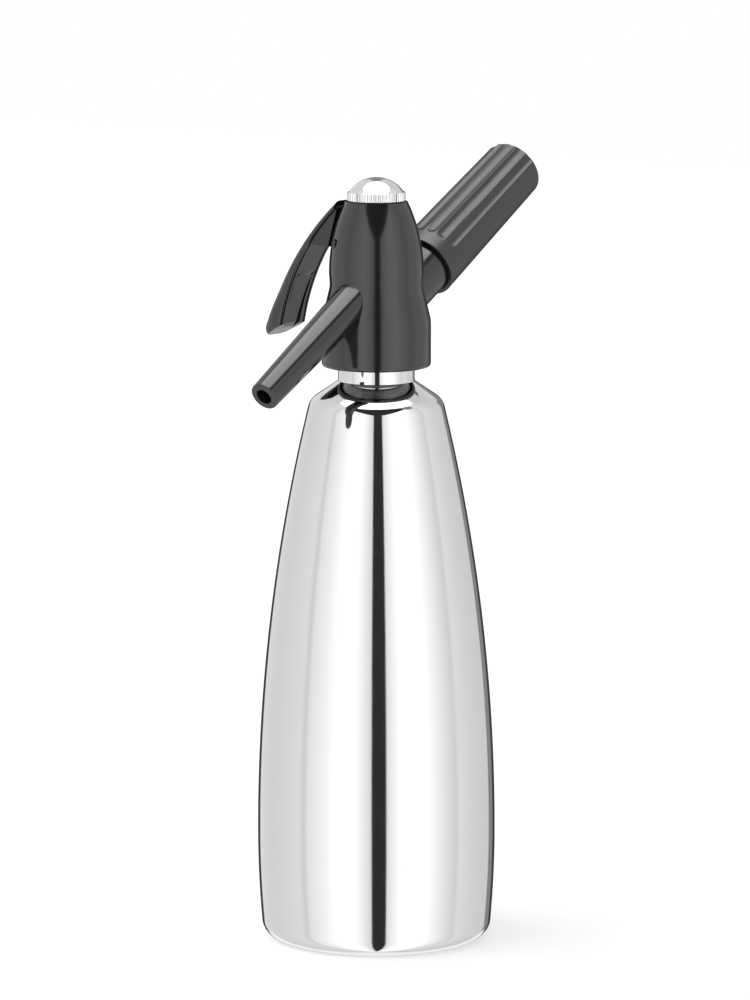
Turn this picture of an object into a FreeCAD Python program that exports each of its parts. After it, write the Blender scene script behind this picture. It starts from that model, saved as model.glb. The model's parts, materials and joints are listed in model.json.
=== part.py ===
import FreeCAD, Part
import math
import os
import Sketcher

# Soda siphon. The origin is the centre of the bottle's foot, +Z is up, the spout points to -Y,
# the charger holder to +Y and the lever to -X. All lengths are in millimetres.

DIMENSIONS = {
    # how far a cutting form reaches past the face that it opens
    "overrun": 1.0,
    # bottle
    "bottle_radius": 50.3,
    "widest_height": 45.0,
    "side_curve": 775.0,
    "foot_curve": 430.0,
    "foot_ring_radius": 34.0,
    "foot_dome_rise": 5.0,
    "foot_rounding": 7.2,
    "bottle_wall": 1.0,
    "shoulder_height": 229.5,
    "shoulder_slope": 34.0,
    "shoulder_rounding": 8.0,
    "neck_radius": 14.0,
    "neck_wall": 1.2,
    "neck_rounding": 1.5,
    "rim_height": 255.0,
    # collar round the neck
    "ferrule_radius": 16.1,
    "ferrule_foot_radius": 16.3,
    "ferrule_foot_height": 238.6,
    "neck_thread_start": 243.6,
    "neck_thread_root": 15.3,
    "neck_thread_pitch": 3.0,
    "neck_thread_width": 1.7,
    "neck_thread_relief": 0.8,
    "thread_overlap": 0.3,
    "ferrule_gap": 0.15,
    # riser
    "tube_radius": 4.0,
    "tube_bore": 3.0,
    "tube_bottom": 8.5,
    "tube_top": 265.5,
    "tube_seal_radius": 5.6,
    "gasket_inner": 13.0,
    "gasket_outer": 16.2,
    "plate_bottom": 257.2,
    "plate_top": 261.0,
    "plate_bevel": 1.0,
    "tube_seal_drop": 0.6,
    # head cover
    "cover_bottom": 244.3,
    "cover_radius": 22.95,
    "cover_bottom_rounding": 1.8,
    "cover_shoulder_height": 263.0,
    "cover_waist_radius": 19.5,
    "cover_waist_low": 277.5,
    "cover_waist_high": 283.0,
    "cover_shoulder_blend": 16.0,
    "cover_waist_blend": 10.0,
    "cover_top": 313.0,
    "cover_top_radius": 13.1,
    "cover_bell_curve": 69.6,
    "cover_mouth_radius": 12.15,
    "cover_wall": 2.3,
    "cover_hollow_shoulder": 262.0,
    "cover_hollow_hip_radius": 18.5,
    "cover_hollow_hip": 268.5,
    "cover_hollow_waist_radius": 17.2,
    "cover_hollow_waist": 277.0,
    "cover_hollow_bell_radius": 17.4,
    "cover_hollow_bell": 286.0,
    "cover_hollow_high_radius": 16.5,
    "cover_hollow_high": 293.0,
    "cover_hollow_neck_radius": 14.3,
    "cover_hollow_neck": 303.0,
    "cover_mouth_bottom": 309.5,
    "cover_fit": 0.1,
    "cover_hole_start": 10.0,
    "cover_hole_length": 30.0,
    # metal core
    "skirt_bottom": 245.4,
    "skirt_radius": 20.3,
    "skirt_bore": 16.5,
    "barrel_low_radius": 8.0,
    "barrel_radius": 12.0,
    "barrel_step": 288.0,
    "barrel_cone": 2.0,
    "barrel_top": 312.0,
    "cap_bore": 10.0,
    "cap_bore_bottom": 306.0,
    "yoke_bore": 8.5,
    "yoke_floor": 298.5,
    "gland_bore": 4.8,
    "gland_floor": 289.5,
    "chamber_bore": 4.4,
    "seat_bottom": 268.0,
    "seat_top": 270.0,
    "seat_bore": 2.8,
    "socket_top": 266.0,
    "socket_bore": 4.1,
    "seal_socket_bore": 5.7,
    "gas_hole_offset": 9.5,
    "gas_hole_radius": 1.0,
    "gas_hole_length": 13.0,
    "gas_gap": 0.4,
    "boss_start": 4.0,
    "spout_boss_inset": 0.6,
    "shank_bore_length": 12.0,
    "core_slot_gap": 0.5,
    "core_slot_reach": 2.0,
    "core_slot_inset": 0.1,
    "core_slot_bottom": 291.0,
    "core_slot_top": 304.2,
    "gland_groove_depth": 1.8,
    "gland_groove_low": 2.5,
    "gland_groove_high": 4.3,
    "gland_ring_wire": 0.87,
    "gland_recess": 0.3,
    "flap_inner": 5.8,
    "flap_outer": 11.4,
    "flap_height": 1.2,
    # valve stem
    "stem_radius": 2.0,
    "stem_top": 309.0,
    "stem_top_bevel": 0.5,
    "stem_collar_radius": 6.0,
    "stem_collar_bottom": 301.5,
    "stem_collar_top": 303.3,
    "stem_seal_radius": 3.9,
    "stem_seal_height": 3.0,
    "stem_flange_height": 1.2,
    "screw_shank": 1.0,
    "screw_head_radius": 1.8,
    "screw_head_height": 1.3,
    "screw_grip": 3.0,
    "screw_end_gap": 0.2,
    "running_gap": 0.05,
    "spring_radius": 5.3,
    "spring_wire": 0.5,
    "spring_turns": 5.0,
    "cap_ceiling": 312.6,
    # lever and pin
    "pivot_offset": 9.6,
    "pivot_height": 296.0,
    "pin_radius": 1.5,
    "pin_half_length": 14.0,
    "lever_half_width": 8.7,
    "lever_wall": 1.8,
    "lever_crown_curve": 150.0,
    "lever_rim_curve": 90.0,
    "lever_crown_rounding": 5.0,
    "web_half_width": 5.0,
    "hub_radius": 3.4,
    "crown_foot_across": 56.3,
    "crown_foot_height": 255.2,
    "crown_top_across": 15.2,
    "crown_top_height": 312.8,
    "rim_top_across": 16.9,
    "rim_top_height": 305.6,
    "rim_foot_across": 45.2,
    "rim_foot_height": 258.2,
    "tip_across": 54.6,
    "tip_height": 252.9,
    "recess_top_across": 32.2,
    "recess_top_height": 288.2,
    "recess_foot_across": 47.2,
    "recess_foot_height": 256.9,
    "recess_clear": 5.0,
    "web_foot_across": 31.0,
    "web_foot_height": 293.6,
    "web_back_across": 22.5,
    "web_back_height": 305.6,
    "web_top_across": 15.5,
    "web_top_height": 303.6,
    "fork_root": 12.0,
    "fork_step": 6.5,
    "fork_slant": 1.0,
    "fork_root_bottom": 297.0,
    "fork_bottom": 298.9,
    "fork_top": 301.2,
    "fork_reach": 1.2,
    "fork_gap": 2.5,
    "pivot_bore_half": 10.0,
    "lever_slot_half": 5.6,
    "lever_slot_inner": 5.0,
    "lever_slot_outer": 30.0,
    "lever_slot_bottom": 288.2,
    "lever_slot_top": 306.6,
    # spout, along its own axis
    "spout_slope": 30.0,
    "spout_axis_height": 281.55,
    "spout_shank_start": 8.6,
    "spout_shank_radius": 4.55,
    "spout_root": 15.5,
    "spout_root_radius": 8.22,
    "spout_tip": 86.6,
    "spout_tip_radius": 6.2,
    "spout_tip_rounding": 0.7,
    "spout_bore": 3.5,
    "spout_bore_end": 24.0,
    "spout_bore_cone": 1.5,
    "spout_passage": 2.2,
    "spout_groove_start": 10.6,
    "spout_groove_end": 12.2,
    "spout_groove_depth": 1.2,
    "spout_ring_wire": 0.6,
    # charger holder, along its own axis
    "holder_slope": 30.0,
    "holder_axis_height": 264.4,
    "arm_shank_start": 10.0,
    "arm_shank_radius": 5.95,
    "arm_boss_radius": 9.6,
    "arm_boss_end": 15.0,
    "arm_root": 17.5,
    "arm_radius": 12.4,
    "arm_thread_root": 11.8,
    "arm_thread_start": 39.3,
    "arm_thread_relief": 0.6,
    "arm_end": 58.0,
    "arm_gas_bore": 1.5,
    "arm_groove_start": 11.6,
    "arm_groove_end": 13.4,
    "arm_groove_depth": 1.6,
    "arm_ring_wire": 0.8,
    "arm_thread_pitch": 2.0,
    "arm_thread_width": 1.6,
    "arm_thread_crest": 0.4,
    "arm_thread_lead": 41.8,
    "charger_wall": 1.4,
    "charger_neck_wall": 1.6,
    "charger_shoulder_rounding": 4.0,
    "charger_hole_gap": 0.4,
    "charger_inner_rise": 0.8,
    "charger_neck_depth": 2.0,
    "piercer_bottom": 35.0,
    "piercer_top": 41.0,
    "piercer_radius": 6.0,
    "charger_socket": 9.4,
    "needle_radius": 0.75,
    "needle_wall": 0.35,
    "needle_root": 1.0,
    "needle_clearance": 0.6,
    "piercer_gasket_gap": 0.4,
    "needle_tip": 43.8,
    "charger_tip": 42.5,
    "charger_neck_radius": 4.2,
    "charger_neck_end": 50.0,
    "charger_radius": 9.0,
    "charger_shoulder_end": 58.0,
    "charger_end": 108.5,
    "sleeve_rim": 36.9,
    "sleeve_rim_radius": 14.42,
    "sleeve_end": 111.8,
    "sleeve_end_radius": 13.03,
    "sleeve_thread_bore": 12.6,
    "sleeve_rim_bevel": 0.4,
    "sleeve_step": 60.0,
    "sleeve_step_cone": 1.5,
    "sleeve_bore": 9.5,
    "sleeve_floor": 110.4,
    "sleeve_end_rounding": 2.2,
    "cushion_bore": 2.0,
    "cushion_side_gap": 0.3,
    "cushion_low_gap": 0.2,
    "cushion_high_gap": 0.1,
    "flute_radius": 4.3,
    "flute_depth": 0.95,
    "flute_start": 46.5,
    "flute_overrun": 5.0,
    "flute_pitch": 21.1,
    "flute_group_angle": -73.0,
    # cap
    "cap_skirt_radius": 9.85,
    "cap_skirt_bottom": 306.4,
    "cap_skirt_bore": 8.0,
    "cap_ring_bottom": 313.3,
    "cap_ring_top": 316.9,
    "cap_ring_radius": 12.3,
    "cap_ring_low_bevel": 0.3,
    "cap_ring_high_bevel": 0.4,
    "washer_inner_gap": 0.1,
    "washer_outer_gap": 0.05,
    "cap_dome_radius": 11.6,
    "cap_dome_top": 323.1,
    "knurl_count": 46.0,
    "knurl_depth": 0.45,
    "knurl_half_width": 0.45,
    "knurl_reach": 0.2,
    "knurl_overrun": 0.5,
}

FLUTES_PER_GROUP = 5
NECK_RIDGES = 3
ARM_RIDGES = 7

doc = FreeCAD.newDocument("soda_siphon")
sheet = doc.addObject("Spreadsheet::Sheet", "sizes")


class Size:
    """A number together with the sheet formula that gives it."""

    def __init__(self, number, formula):
        self.number = number
        self.formula = formula

    def __add__(self, other):
        return joined(self, other, "+")

    def __sub__(self, other):
        return joined(self, other, "-")

    def __mul__(self, other):
        return joined(self, other, "*")

    def __truediv__(self, other):
        return joined(self, other, "/")


def as_size(value):
    """Any plain number, dimension's name or Size as a Size."""
    if isinstance(value, str):
        return Size(DIMENSIONS[value], f"sizes.{value}")
    if isinstance(value, Size):
        return value
    return Size(float(value), repr(float(value)))


def joined(first, second, sign):
    """The Size that a sum, difference, product or quotient gives."""
    second = as_size(second)
    results = {
        "+": first.number + second.number,
        "-": first.number - second.number,
        "*": first.number * second.number,
        "/": first.number / second.number if second.number else 0.0,
    }
    return Size(results[sign], f"({first.formula} {sign} {second.formula})")


def root(value):
    """Square root."""
    return Size(math.sqrt(value.number), f"sqrt({value.formula})")


def sine(angle):
    """Sine of an angle in degrees."""
    return Size(math.sin(math.radians(angle.number)), f"sin({angle.formula} * 1 deg)")


def cosine(angle):
    """Cosine of an angle in degrees."""
    return Size(math.cos(math.radians(angle.number)), f"cos({angle.formula} * 1 deg)")


def tangent(angle):
    """Tangent of an angle in degrees."""
    return Size(math.tan(math.radians(angle.number)), f"tan({angle.formula} * 1 deg)")


def fill_sheet():
    """Writes every driving dimension into the sheet under its own alias."""
    for row, (name, number) in enumerate(DIMENSIONS.items(), start=1):
        sheet.set(f"A{row}", name.replace("_", " "))
        sheet.set(f"B{row}", str(number))
        sheet.setAlias(f"B{row}", name)
    doc.recompute()


def bind(thing, name, value):
    """Ties one property of an object to the sheet."""
    thing.setExpression(name, as_size(value).formula)


def place(thing, spot=(0, 0, 0), turn=0.0, axis=(1, 0, 0)):
    """Gives an object its Placement: a turn about an axis and a spot tied to the sheet."""
    spot = [as_size(value) for value in spot]
    corner = FreeCAD.Vector(*[value.number for value in spot])
    thing.Placement = FreeCAD.Placement(corner, FreeCAD.Rotation(FreeCAD.Vector(*axis), turn))
    for letter, value in zip("xyz", spot):
        thing.setExpression(f"Placement.Base.{letter}", value.formula)


def up_the_holder(distance):
    """Where the charger holder's axis is at a distance from the bottle's axis, and its turn."""
    slope = as_size("holder_slope")
    across = cosine(slope) * distance
    height = as_size("holder_axis_height") + sine(slope) * distance
    return {"spot": (0, across, height), "turn": slope.number - 90}


def down_the_spout(distance):
    """Where the spout's axis is at a distance from the bottle's axis, and its turn."""
    slope = as_size("spout_slope")
    across = cosine(slope) * distance * -1
    height = as_size("spout_axis_height") - sine(slope) * distance
    return {"spot": (0, across, height), "turn": slope.number + 90}


def new_body(label, **where):
    """An empty body with its own label and Placement."""
    body = doc.addObject("PartDesign::Body", label)
    body.Label = label
    place(body, **where)
    return body


def plane_of(body, role):
    """One of a body's own origin planes."""
    return next(plane for plane in body.Origin.OriginFeatures if plane.Role == role)


def arc_middle(start, end, radius):
    """The middle point of the short arc between two points; a negative radius bulges to the right."""
    chord = end - start
    half = chord.Length / 2
    sagitta = abs(radius) - math.sqrt(max(radius * radius - half * half, 0.0))
    normal = FreeCAD.Vector(-chord.y, chord.x, 0).normalize()
    return (start + end) * 0.5 + normal * math.copysign(sagitta, radius)


def outline(body, name, corners, role="XZ_Plane"):
    """A closed sketch. A corner is (across, up) or (across, up, radius of the arc that leaves it)."""
    sketch = body.newObject("Sketcher::SketchObject", f"{body.Name}_{name}")
    sketch.AttachmentSupport = (plane_of(body, role), [""])
    sketch.MapMode = "FlatFace"
    spots = [(as_size(corner[0]), as_size(corner[1])) for corner in corners]
    points = [FreeCAD.Vector(across.number, up.number, 0) for across, up in spots]
    starts = []
    ends = []
    for index, corner in enumerate(corners):
        start = points[index]
        end = points[(index + 1) % len(points)]
        if len(corner) > 2:
            radius = as_size(corner[2])
            middle = arc_middle(start, end, radius.number)
            edge = sketch.addGeometry(Part.Arc(start, middle, end), False)
        else:
            edge = sketch.addGeometry(Part.LineSegment(start, end), False)
        forward = (sketch.getPoint(edge, 1) - start).Length < (sketch.getPoint(edge, 2) - start).Length
        starts.append(1 if forward else 2)
        ends.append(2 if forward else 1)
    for edge, corner in enumerate(corners):
        after = (edge + 1) % len(corners)
        sketch.addConstraint(Sketcher.Constraint("Coincident", edge, ends[edge], after, starts[after]))
        across, up = spots[edge]
        dimension(sketch, "DistanceX", edge, starts[edge], across, f"across_{edge}")
        dimension(sketch, "DistanceY", edge, starts[edge], up, f"up_{edge}")
        if len(corner) > 2:
            radius = as_size(corner[2])
            number = sketch.addConstraint(Sketcher.Constraint("Radius", edge, abs(radius.number)))
            sketch.renameConstraint(number, f"radius_{edge}")
            sketch.setExpression(f"Constraints.radius_{edge}", f"abs({radius.formula})")
    return sketch


def dimension(sketch, kind, edge, end, value, name):
    """One distance from the sketch's origin, tied to the sheet."""
    number = sketch.addConstraint(Sketcher.Constraint(kind, -1, 1, edge, end, value.number))
    sketch.renameConstraint(number, name)
    sketch.setExpression(f"Constraints.{name}", value.formula)


def turned(body, name, corners, kind="Revolution"):
    """Adds (Revolution) or removes (Groove) an outline turned about the body's own Z axis."""
    sketch = outline(body, name, corners)
    feature = body.newObject(f"PartDesign::{kind}", f"{body.Name}_{name}_turned")
    feature.Profile = sketch
    feature.ReferenceAxis = (sketch, ["V_Axis"])
    feature.Angle = 360.0
    doc.recompute()
    return feature


def slab(body, name, corners, width, kind="Pad"):
    """Adds (Pad) or removes (Pocket) an outline over a width, half each side of the XZ plane."""
    sketch = outline(body, name, corners)
    feature = body.newObject(f"PartDesign::{kind}", f"{body.Name}_{name}_slab")
    feature.Profile = sketch
    feature.Midplane = True
    bind(feature, "Length", width)
    doc.recompute()
    return feature


def rounded(body, name, picks, radius):
    """Rounds the edges that picks chooses."""
    base = body.Tip
    edges = [f"Edge{number}" for number, edge in enumerate(base.Shape.Edges, start=1) if picks(edge)]
    if not edges:
        raise RuntimeError(f"{body.Label}: no edge to round for {name}")
    feature = body.newObject("PartDesign::Fillet", f"{body.Name}_{name}")
    feature.Base = (base, edges)
    bind(feature, "Radius", radius)
    doc.recompute()
    return feature


def circle_of(edge):
    """The circle that an edge lies on, or None."""
    if edge.Degenerated or edge.Curve.TypeId != "Part::GeomCircle":
        return None
    return edge.Curve


def ring_at(radius, height):
    """Picks the full circle of one radius at one height."""
    radius = as_size(radius).number
    height = as_size(height).number

    def picks(edge):
        circle = circle_of(edge)
        return bool(circle) and abs(circle.Radius - radius) < 0.01 and abs(circle.Center.z - height) < 0.01

    return picks


def ring_body(label, inner, outer, low, high, **where):
    """A plain turned ring or bush."""
    body = new_body(label, **where)
    turned(body, "section", [(inner, low), (outer, low), (outer, high), (inner, high)])
    return body


def o_ring(label, middle, wire, **where):
    """A rubber O-ring round the local Z axis."""
    ring = doc.addObject("Part::Torus", label)
    ring.Label = label
    bind(ring, "Radius1", middle)
    bind(ring, "Radius2", wire)
    place(ring, **where)
    return ring


def rod(name, radius, length, **where):
    """A plain cylinder along the axis that its place gives."""
    cylinder = doc.addObject("Part::Cylinder", name)
    bind(cylinder, "Radius", radius)
    bind(cylinder, "Height", length)
    place(cylinder, **where)
    return cylinder


def box(name, low, high):
    """A block between two corners."""
    block = doc.addObject("Part::Box", name)
    sides = [as_size(top) - as_size(bottom) for bottom, top in zip(low, high)]
    for side, length in zip(("Length", "Width", "Height"), sides):
        bind(block, side, length)
    for letter, corner in zip("xyz", low):
        block.setExpression(f"Placement.Base.{letter}", as_size(corner).formula)
    return block


def joined_solid(name, *pieces):
    """One solid from several."""
    whole = doc.addObject("Part::MultiFuse", name)
    whole.Shapes = list(pieces)
    return whole


def cut_solid(label, base, tool):
    """A finished sub-part: base less tool."""
    part = doc.addObject("Part::Cut", label)
    part.Label = label
    part.Base = base
    part.Tool = tool
    doc.recompute()
    return part


def bottle_side(height, inset):
    """Radius of the bottle's side above its widest part."""
    curve = as_size("side_curve") - inset
    rise = as_size(height) - "widest_height"
    return as_size("bottle_radius") - "side_curve" + root(curve * curve - rise * rise)


def bottle_foot(height, inset):
    """Radius of the bottle's side below its widest part."""
    curve = as_size("foot_curve") - inset
    rise = as_size("widest_height") - height
    return as_size("bottle_radius") - "foot_curve" + root(curve * curve - rise * rise)


def bottle_form(body, name, inset, kind):
    """The bottle's outer form, or its hollow, which lies a wall's thickness inside it."""
    wall = as_size("bottle_wall") * inset
    neck = as_size("neck_radius") - as_size("neck_wall") * inset
    dome = as_size("foot_dome_rise")
    ring = as_size("foot_ring_radius")
    dome_curve = (ring * ring + dome * dome) / (dome * 2.0)
    shoulder = as_size("shoulder_height") - wall
    shoulder_radius = bottle_side(shoulder, wall)
    neck_root = shoulder + (shoulder_radius - neck) * tangent(as_size("shoulder_slope"))
    top = as_size("rim_height") + inset
    turned(body, name, [
        (0, dome + wall, dome_curve),
        (ring, wall),
        (bottle_foot(wall, wall), wall, (as_size("foot_curve") - wall) * -1),
        (as_size("bottle_radius") - wall, "widest_height", (as_size("side_curve") - wall) * -1),
        (shoulder_radius, shoulder),
        (neck, neck_root),
        (neck, top),
        (0, top),
    ], kind)
    return {"foot": (bottle_foot(wall, wall), wall), "shoulder": (shoulder_radius, shoulder),
            "neck": (neck, neck_root)}


def make_bottle():
    """The drawn bottle: its outer form is rounded first, then the hollow is turned out of it."""
    outer = new_body("bottle_outer")
    rings = bottle_form(outer, "form", 0.0, "Revolution")
    rounded(outer, "foot_round", ring_at(*rings["foot"]), "foot_rounding")
    rounded(outer, "shoulder_round", ring_at(*rings["shoulder"]), "shoulder_rounding")
    rounded(outer, "neck_round", ring_at(*rings["neck"]), "neck_rounding")
    hollow = new_body("bottle_hollow")
    rings = bottle_form(hollow, "form", 1.0, "Revolution")
    rounded(hollow, "foot_round", ring_at(*rings["foot"]), as_size("foot_rounding") - "bottle_wall")
    rounded(hollow, "shoulder_round", ring_at(*rings["shoulder"]),
            as_size("shoulder_rounding") - "bottle_wall")
    rounded(hollow, "neck_round", ring_at(*rings["neck"]), as_size("neck_rounding") + "bottle_wall")
    return cut_solid("bottle", outer, hollow)


def make_neck_ferrule():
    """The collar round the neck, with the thread that the head screws on to."""
    body = new_body("neck_ferrule")
    slope = tangent(as_size("shoulder_slope"))
    neck_root = as_size("shoulder_height") + (bottle_side("shoulder_height", 0.0) - "neck_radius") * slope
    foot = neck_root + "ferrule_gap" - (as_size("ferrule_foot_radius") - "neck_radius") * slope
    seat = as_size("neck_radius") + "neck_rounding"
    start = as_size("neck_thread_start")
    turned(body, "collar", [
        ("neck_radius", neck_root + "neck_rounding"),
        (seat, neck_root + "ferrule_gap" - as_size("neck_rounding") * slope),
        ("ferrule_foot_radius", foot),
        ("ferrule_radius", "ferrule_foot_height"),
        ("ferrule_radius", start - "neck_thread_relief"),
        ("neck_thread_root", start),
        ("neck_thread_root", "rim_height"),
        ("neck_radius", "rim_height"),
    ])
    half = as_size("neck_thread_width") / 2.0
    middle = start + as_size("neck_thread_pitch") / 2.0
    ridge = turned(body, "thread_ridge", [
        (as_size("neck_thread_root") - "thread_overlap", middle - half),
        ("neck_thread_root", middle - half),
        ("ferrule_radius", middle - half / 3.0),
        ("ferrule_radius", middle + half / 3.0),
        ("neck_thread_root", middle + half),
        (as_size("neck_thread_root") - "thread_overlap", middle + half),
    ])
    repeated(body, ridge, "thread", as_size("neck_thread_pitch"), NECK_RIDGES)
    return body


def repeated(body, feature, name, pitch, count):
    """Repeats a ridge along the body's Z axis."""
    pattern = body.newObject("PartDesign::LinearPattern", f"{body.Name}_{name}")
    pattern.Originals = [feature]
    pattern.Direction = (feature.Profile[0], ["V_Axis"])
    pattern.Occurrences = count
    bind(pattern, "Length", pitch * float(count - 1))
    body.Tip = pattern
    doc.recompute()
    return pattern


def make_riser():
    """The dip tube, the rubber sleeve round its top and the flat gasket on the bottle's rim."""
    ring_body("dip_tube", "tube_bore", "tube_radius", "tube_bottom", "tube_top")
    ring_body("tube_seal", "tube_radius", "tube_seal_radius",
              as_size("plate_bottom") - "tube_seal_drop", "plate_top")
    ring_body("head_gasket", "gasket_inner", "gasket_outer", "rim_height", "plate_bottom")


def make_valve_body():
    """The metal core: a threaded skirt, a plate and a barrel, with bosses for the spout and the holder."""
    core = new_body("valve_core")
    turned(core, "form", [
        (0, "plate_bottom"),
        ("skirt_bore", "plate_bottom"),
        ("skirt_bore", "skirt_bottom"),
        ("skirt_radius", "skirt_bottom"),
        ("skirt_radius", as_size("plate_top") - "plate_bevel"),
        (as_size("skirt_radius") - "plate_bevel", "plate_top"),
        ("barrel_low_radius", "plate_top"),
        ("barrel_low_radius", as_size("barrel_step") - "barrel_cone"),
        ("barrel_radius", "barrel_step"),
        ("barrel_radius", "barrel_top"),
        (0, "barrel_top"),
    ])
    spout_boss = rod("spout_boss", as_size("spout_root_radius") - "spout_boss_inset",
                     as_size("spout_root") - "boss_start", **down_the_spout("boss_start"))
    arm_boss = rod("arm_boss", "arm_boss_radius", as_size("arm_boss_end") - "boss_start",
                   **up_the_holder("boss_start"))
    solid = joined_solid("valve_core_solid", core, spout_boss, arm_boss)

    bores = new_body("valve_bores")
    turned(bores, "form", [
        (0, as_size("plate_bottom") - "overrun"),
        ("seal_socket_bore", as_size("plate_bottom") - "overrun"),
        ("seal_socket_bore", "plate_top"),
        ("socket_bore", "plate_top"),
        ("socket_bore", "socket_top"),
        ("seat_bore", "socket_top"),
        ("seat_bore", "seat_bottom"),
        ("chamber_bore", "seat_bottom"),
        ("chamber_bore", "gland_floor"),
        ("gland_bore", "gland_floor"),
        ("gland_bore", "yoke_floor"),
        ("yoke_bore", "yoke_floor"),
        ("yoke_bore", "cap_bore_bottom"),
        ("cap_bore", "cap_bore_bottom"),
        ("cap_bore", as_size("barrel_top") + "overrun"),
        (0, as_size("barrel_top") + "overrun"),
    ])
    spout_bore = rod("spout_shank_bore", as_size("spout_shank_radius") + "running_gap", "shank_bore_length",
                     **down_the_spout("spout_shank_start"))
    outlet = rod("outlet_bore", "spout_passage", "shank_bore_length", **down_the_spout(0.0))
    arm_bore = rod("arm_shank_bore", as_size("arm_shank_radius") + "running_gap", "shank_bore_length",
                   **up_the_holder(as_size("arm_shank_start") - "gas_gap"))
    gas_hole = rod("gas_hole", "gas_hole_radius", "gas_hole_length",
                   spot=(0, "gas_hole_offset", as_size("plate_bottom") - "overrun"))
    pin_hole = rod("core_pin_hole", "pin_radius", as_size("pin_half_length") * 2.0,
                   spot=(as_size("pivot_offset") * -1.0, "pin_half_length", "pivot_height"), turn=90)
    slot_half = as_size("web_half_width") + "core_slot_gap"
    outside = as_size("barrel_radius") * -1.0 - "core_slot_reach"
    inside = as_size("stem_collar_radius") * -1.0 + "core_slot_inset"
    slot = box("core_lever_slot", (outside, slot_half * -1.0, "core_slot_bottom"),
               (inside, slot_half, "core_slot_top"))
    tool = joined_solid("valve_body_bores", bores, spout_bore, outlet, arm_bore, gas_hole, pin_hole, slot)
    return cut_solid("valve_body", solid, tool)


def make_valve_parts():
    """Seat, gland and their seals, the lever's pin and the flap over the gas hole."""
    ring_body("valve_seat", "seat_bore", "chamber_bore", "seat_bottom", "seat_top")
    gland = new_body("gland_nut")
    bore = as_size("stem_radius") + "running_gap"
    groove = as_size("stem_radius") + "gland_groove_depth"
    face = as_size("yoke_floor") - "gland_recess"
    groove_low = as_size("gland_floor") + "gland_groove_low"
    groove_high = as_size("gland_floor") + "gland_groove_high"
    turned(gland, "section", [
        (bore, "gland_floor"),
        ("gland_bore", "gland_floor"),
        ("gland_bore", face),
        (bore, face),
        (bore, groove_high),
        (groove, groove_high),
        (groove, groove_low),
        (bore, groove_low),
    ])
    o_ring("gland_o_ring", (bore + groove) / 2.0, "gland_ring_wire",
           spot=(0, 0, (groove_low + groove_high) / 2.0))
    rod("lever_pin", "pin_radius", as_size("pin_half_length") * 2.0,
        spot=(as_size("pivot_offset") * -1.0, "pin_half_length", "pivot_height"), turn=90).Label = "lever_pin"
    ring_body("check_flap", "flap_inner", "flap_outer", as_size("plate_bottom") - "flap_height",
              "plate_bottom")


def make_head_cover():
    """The bell-shaped cover over the core."""
    shell = new_body("cover_shell")
    bell = as_size("cover_bell_curve")
    rise = as_size("cover_top") - "cover_waist_high"
    hip = as_size("cover_top_radius") + bell - root(bell * bell - rise * rise)
    turned(shell, "form", [
        (0, "cover_bottom"),
        ("cover_radius", "cover_bottom"),
        ("cover_radius", "cover_shoulder_height"),
        ("cover_waist_radius", "cover_waist_low"),
        (hip, "cover_waist_high", bell * -1.0),
        ("cover_top_radius", "cover_top"),
        (0, "cover_top"),
    ])
    rounded(shell, "bottom_round", ring_at("cover_radius", "cover_bottom"), "cover_bottom_rounding")
    rounded(shell, "shoulder_round", ring_at("cover_radius", "cover_shoulder_height"),
            "cover_shoulder_blend")
    rounded(shell, "waist_round", ring_at("cover_waist_radius", "cover_waist_low"), "cover_waist_blend")
    hollow = new_body("cover_hollow")
    turned(hollow, "form", [
        (0, as_size("cover_bottom") - "overrun"),
        (as_size("cover_radius") - "cover_wall", as_size("cover_bottom") - "overrun"),
        (as_size("cover_radius") - "cover_wall", "cover_hollow_shoulder"),
        ("cover_hollow_hip_radius", "cover_hollow_hip"),
        ("cover_hollow_waist_radius", "cover_hollow_waist"),
        ("cover_hollow_bell_radius", "cover_hollow_bell"),
        ("cover_hollow_high_radius", "cover_hollow_high"),
        ("cover_hollow_neck_radius", "cover_hollow_neck"),
        ("cover_mouth_radius", "cover_mouth_bottom"),
        ("cover_mouth_radius", as_size("cover_top") + "overrun"),
        (0, as_size("cover_top") + "overrun"),
    ])
    length = as_size("cover_hole_length")
    spout_hole = rod("cover_spout_hole", as_size("spout_root_radius") + "cover_fit", length,
                     **down_the_spout("cover_hole_start"))
    arm_hole = rod("cover_arm_hole", as_size("arm_radius") + "cover_fit", length,
                   **up_the_holder("cover_hole_start"))
    pin_hole = rod("cover_pin_hole", "pin_radius", length * 2.0,
                   spot=(as_size("pivot_offset") * -1.0, length, "pivot_height"), turn=90)
    slot_half = as_size("lever_slot_half")
    outside = as_size("lever_slot_outer") * -1.0
    slot = box("cover_lever_slot", (outside, slot_half * -1.0, "lever_slot_bottom"),
               (as_size("lever_slot_inner") * -1.0, slot_half, "lever_slot_top"))
    tool = joined_solid("cover_openings", hollow, spout_hole, arm_hole, pin_hole, slot)
    return cut_solid("head_cover", shell, tool)


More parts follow.
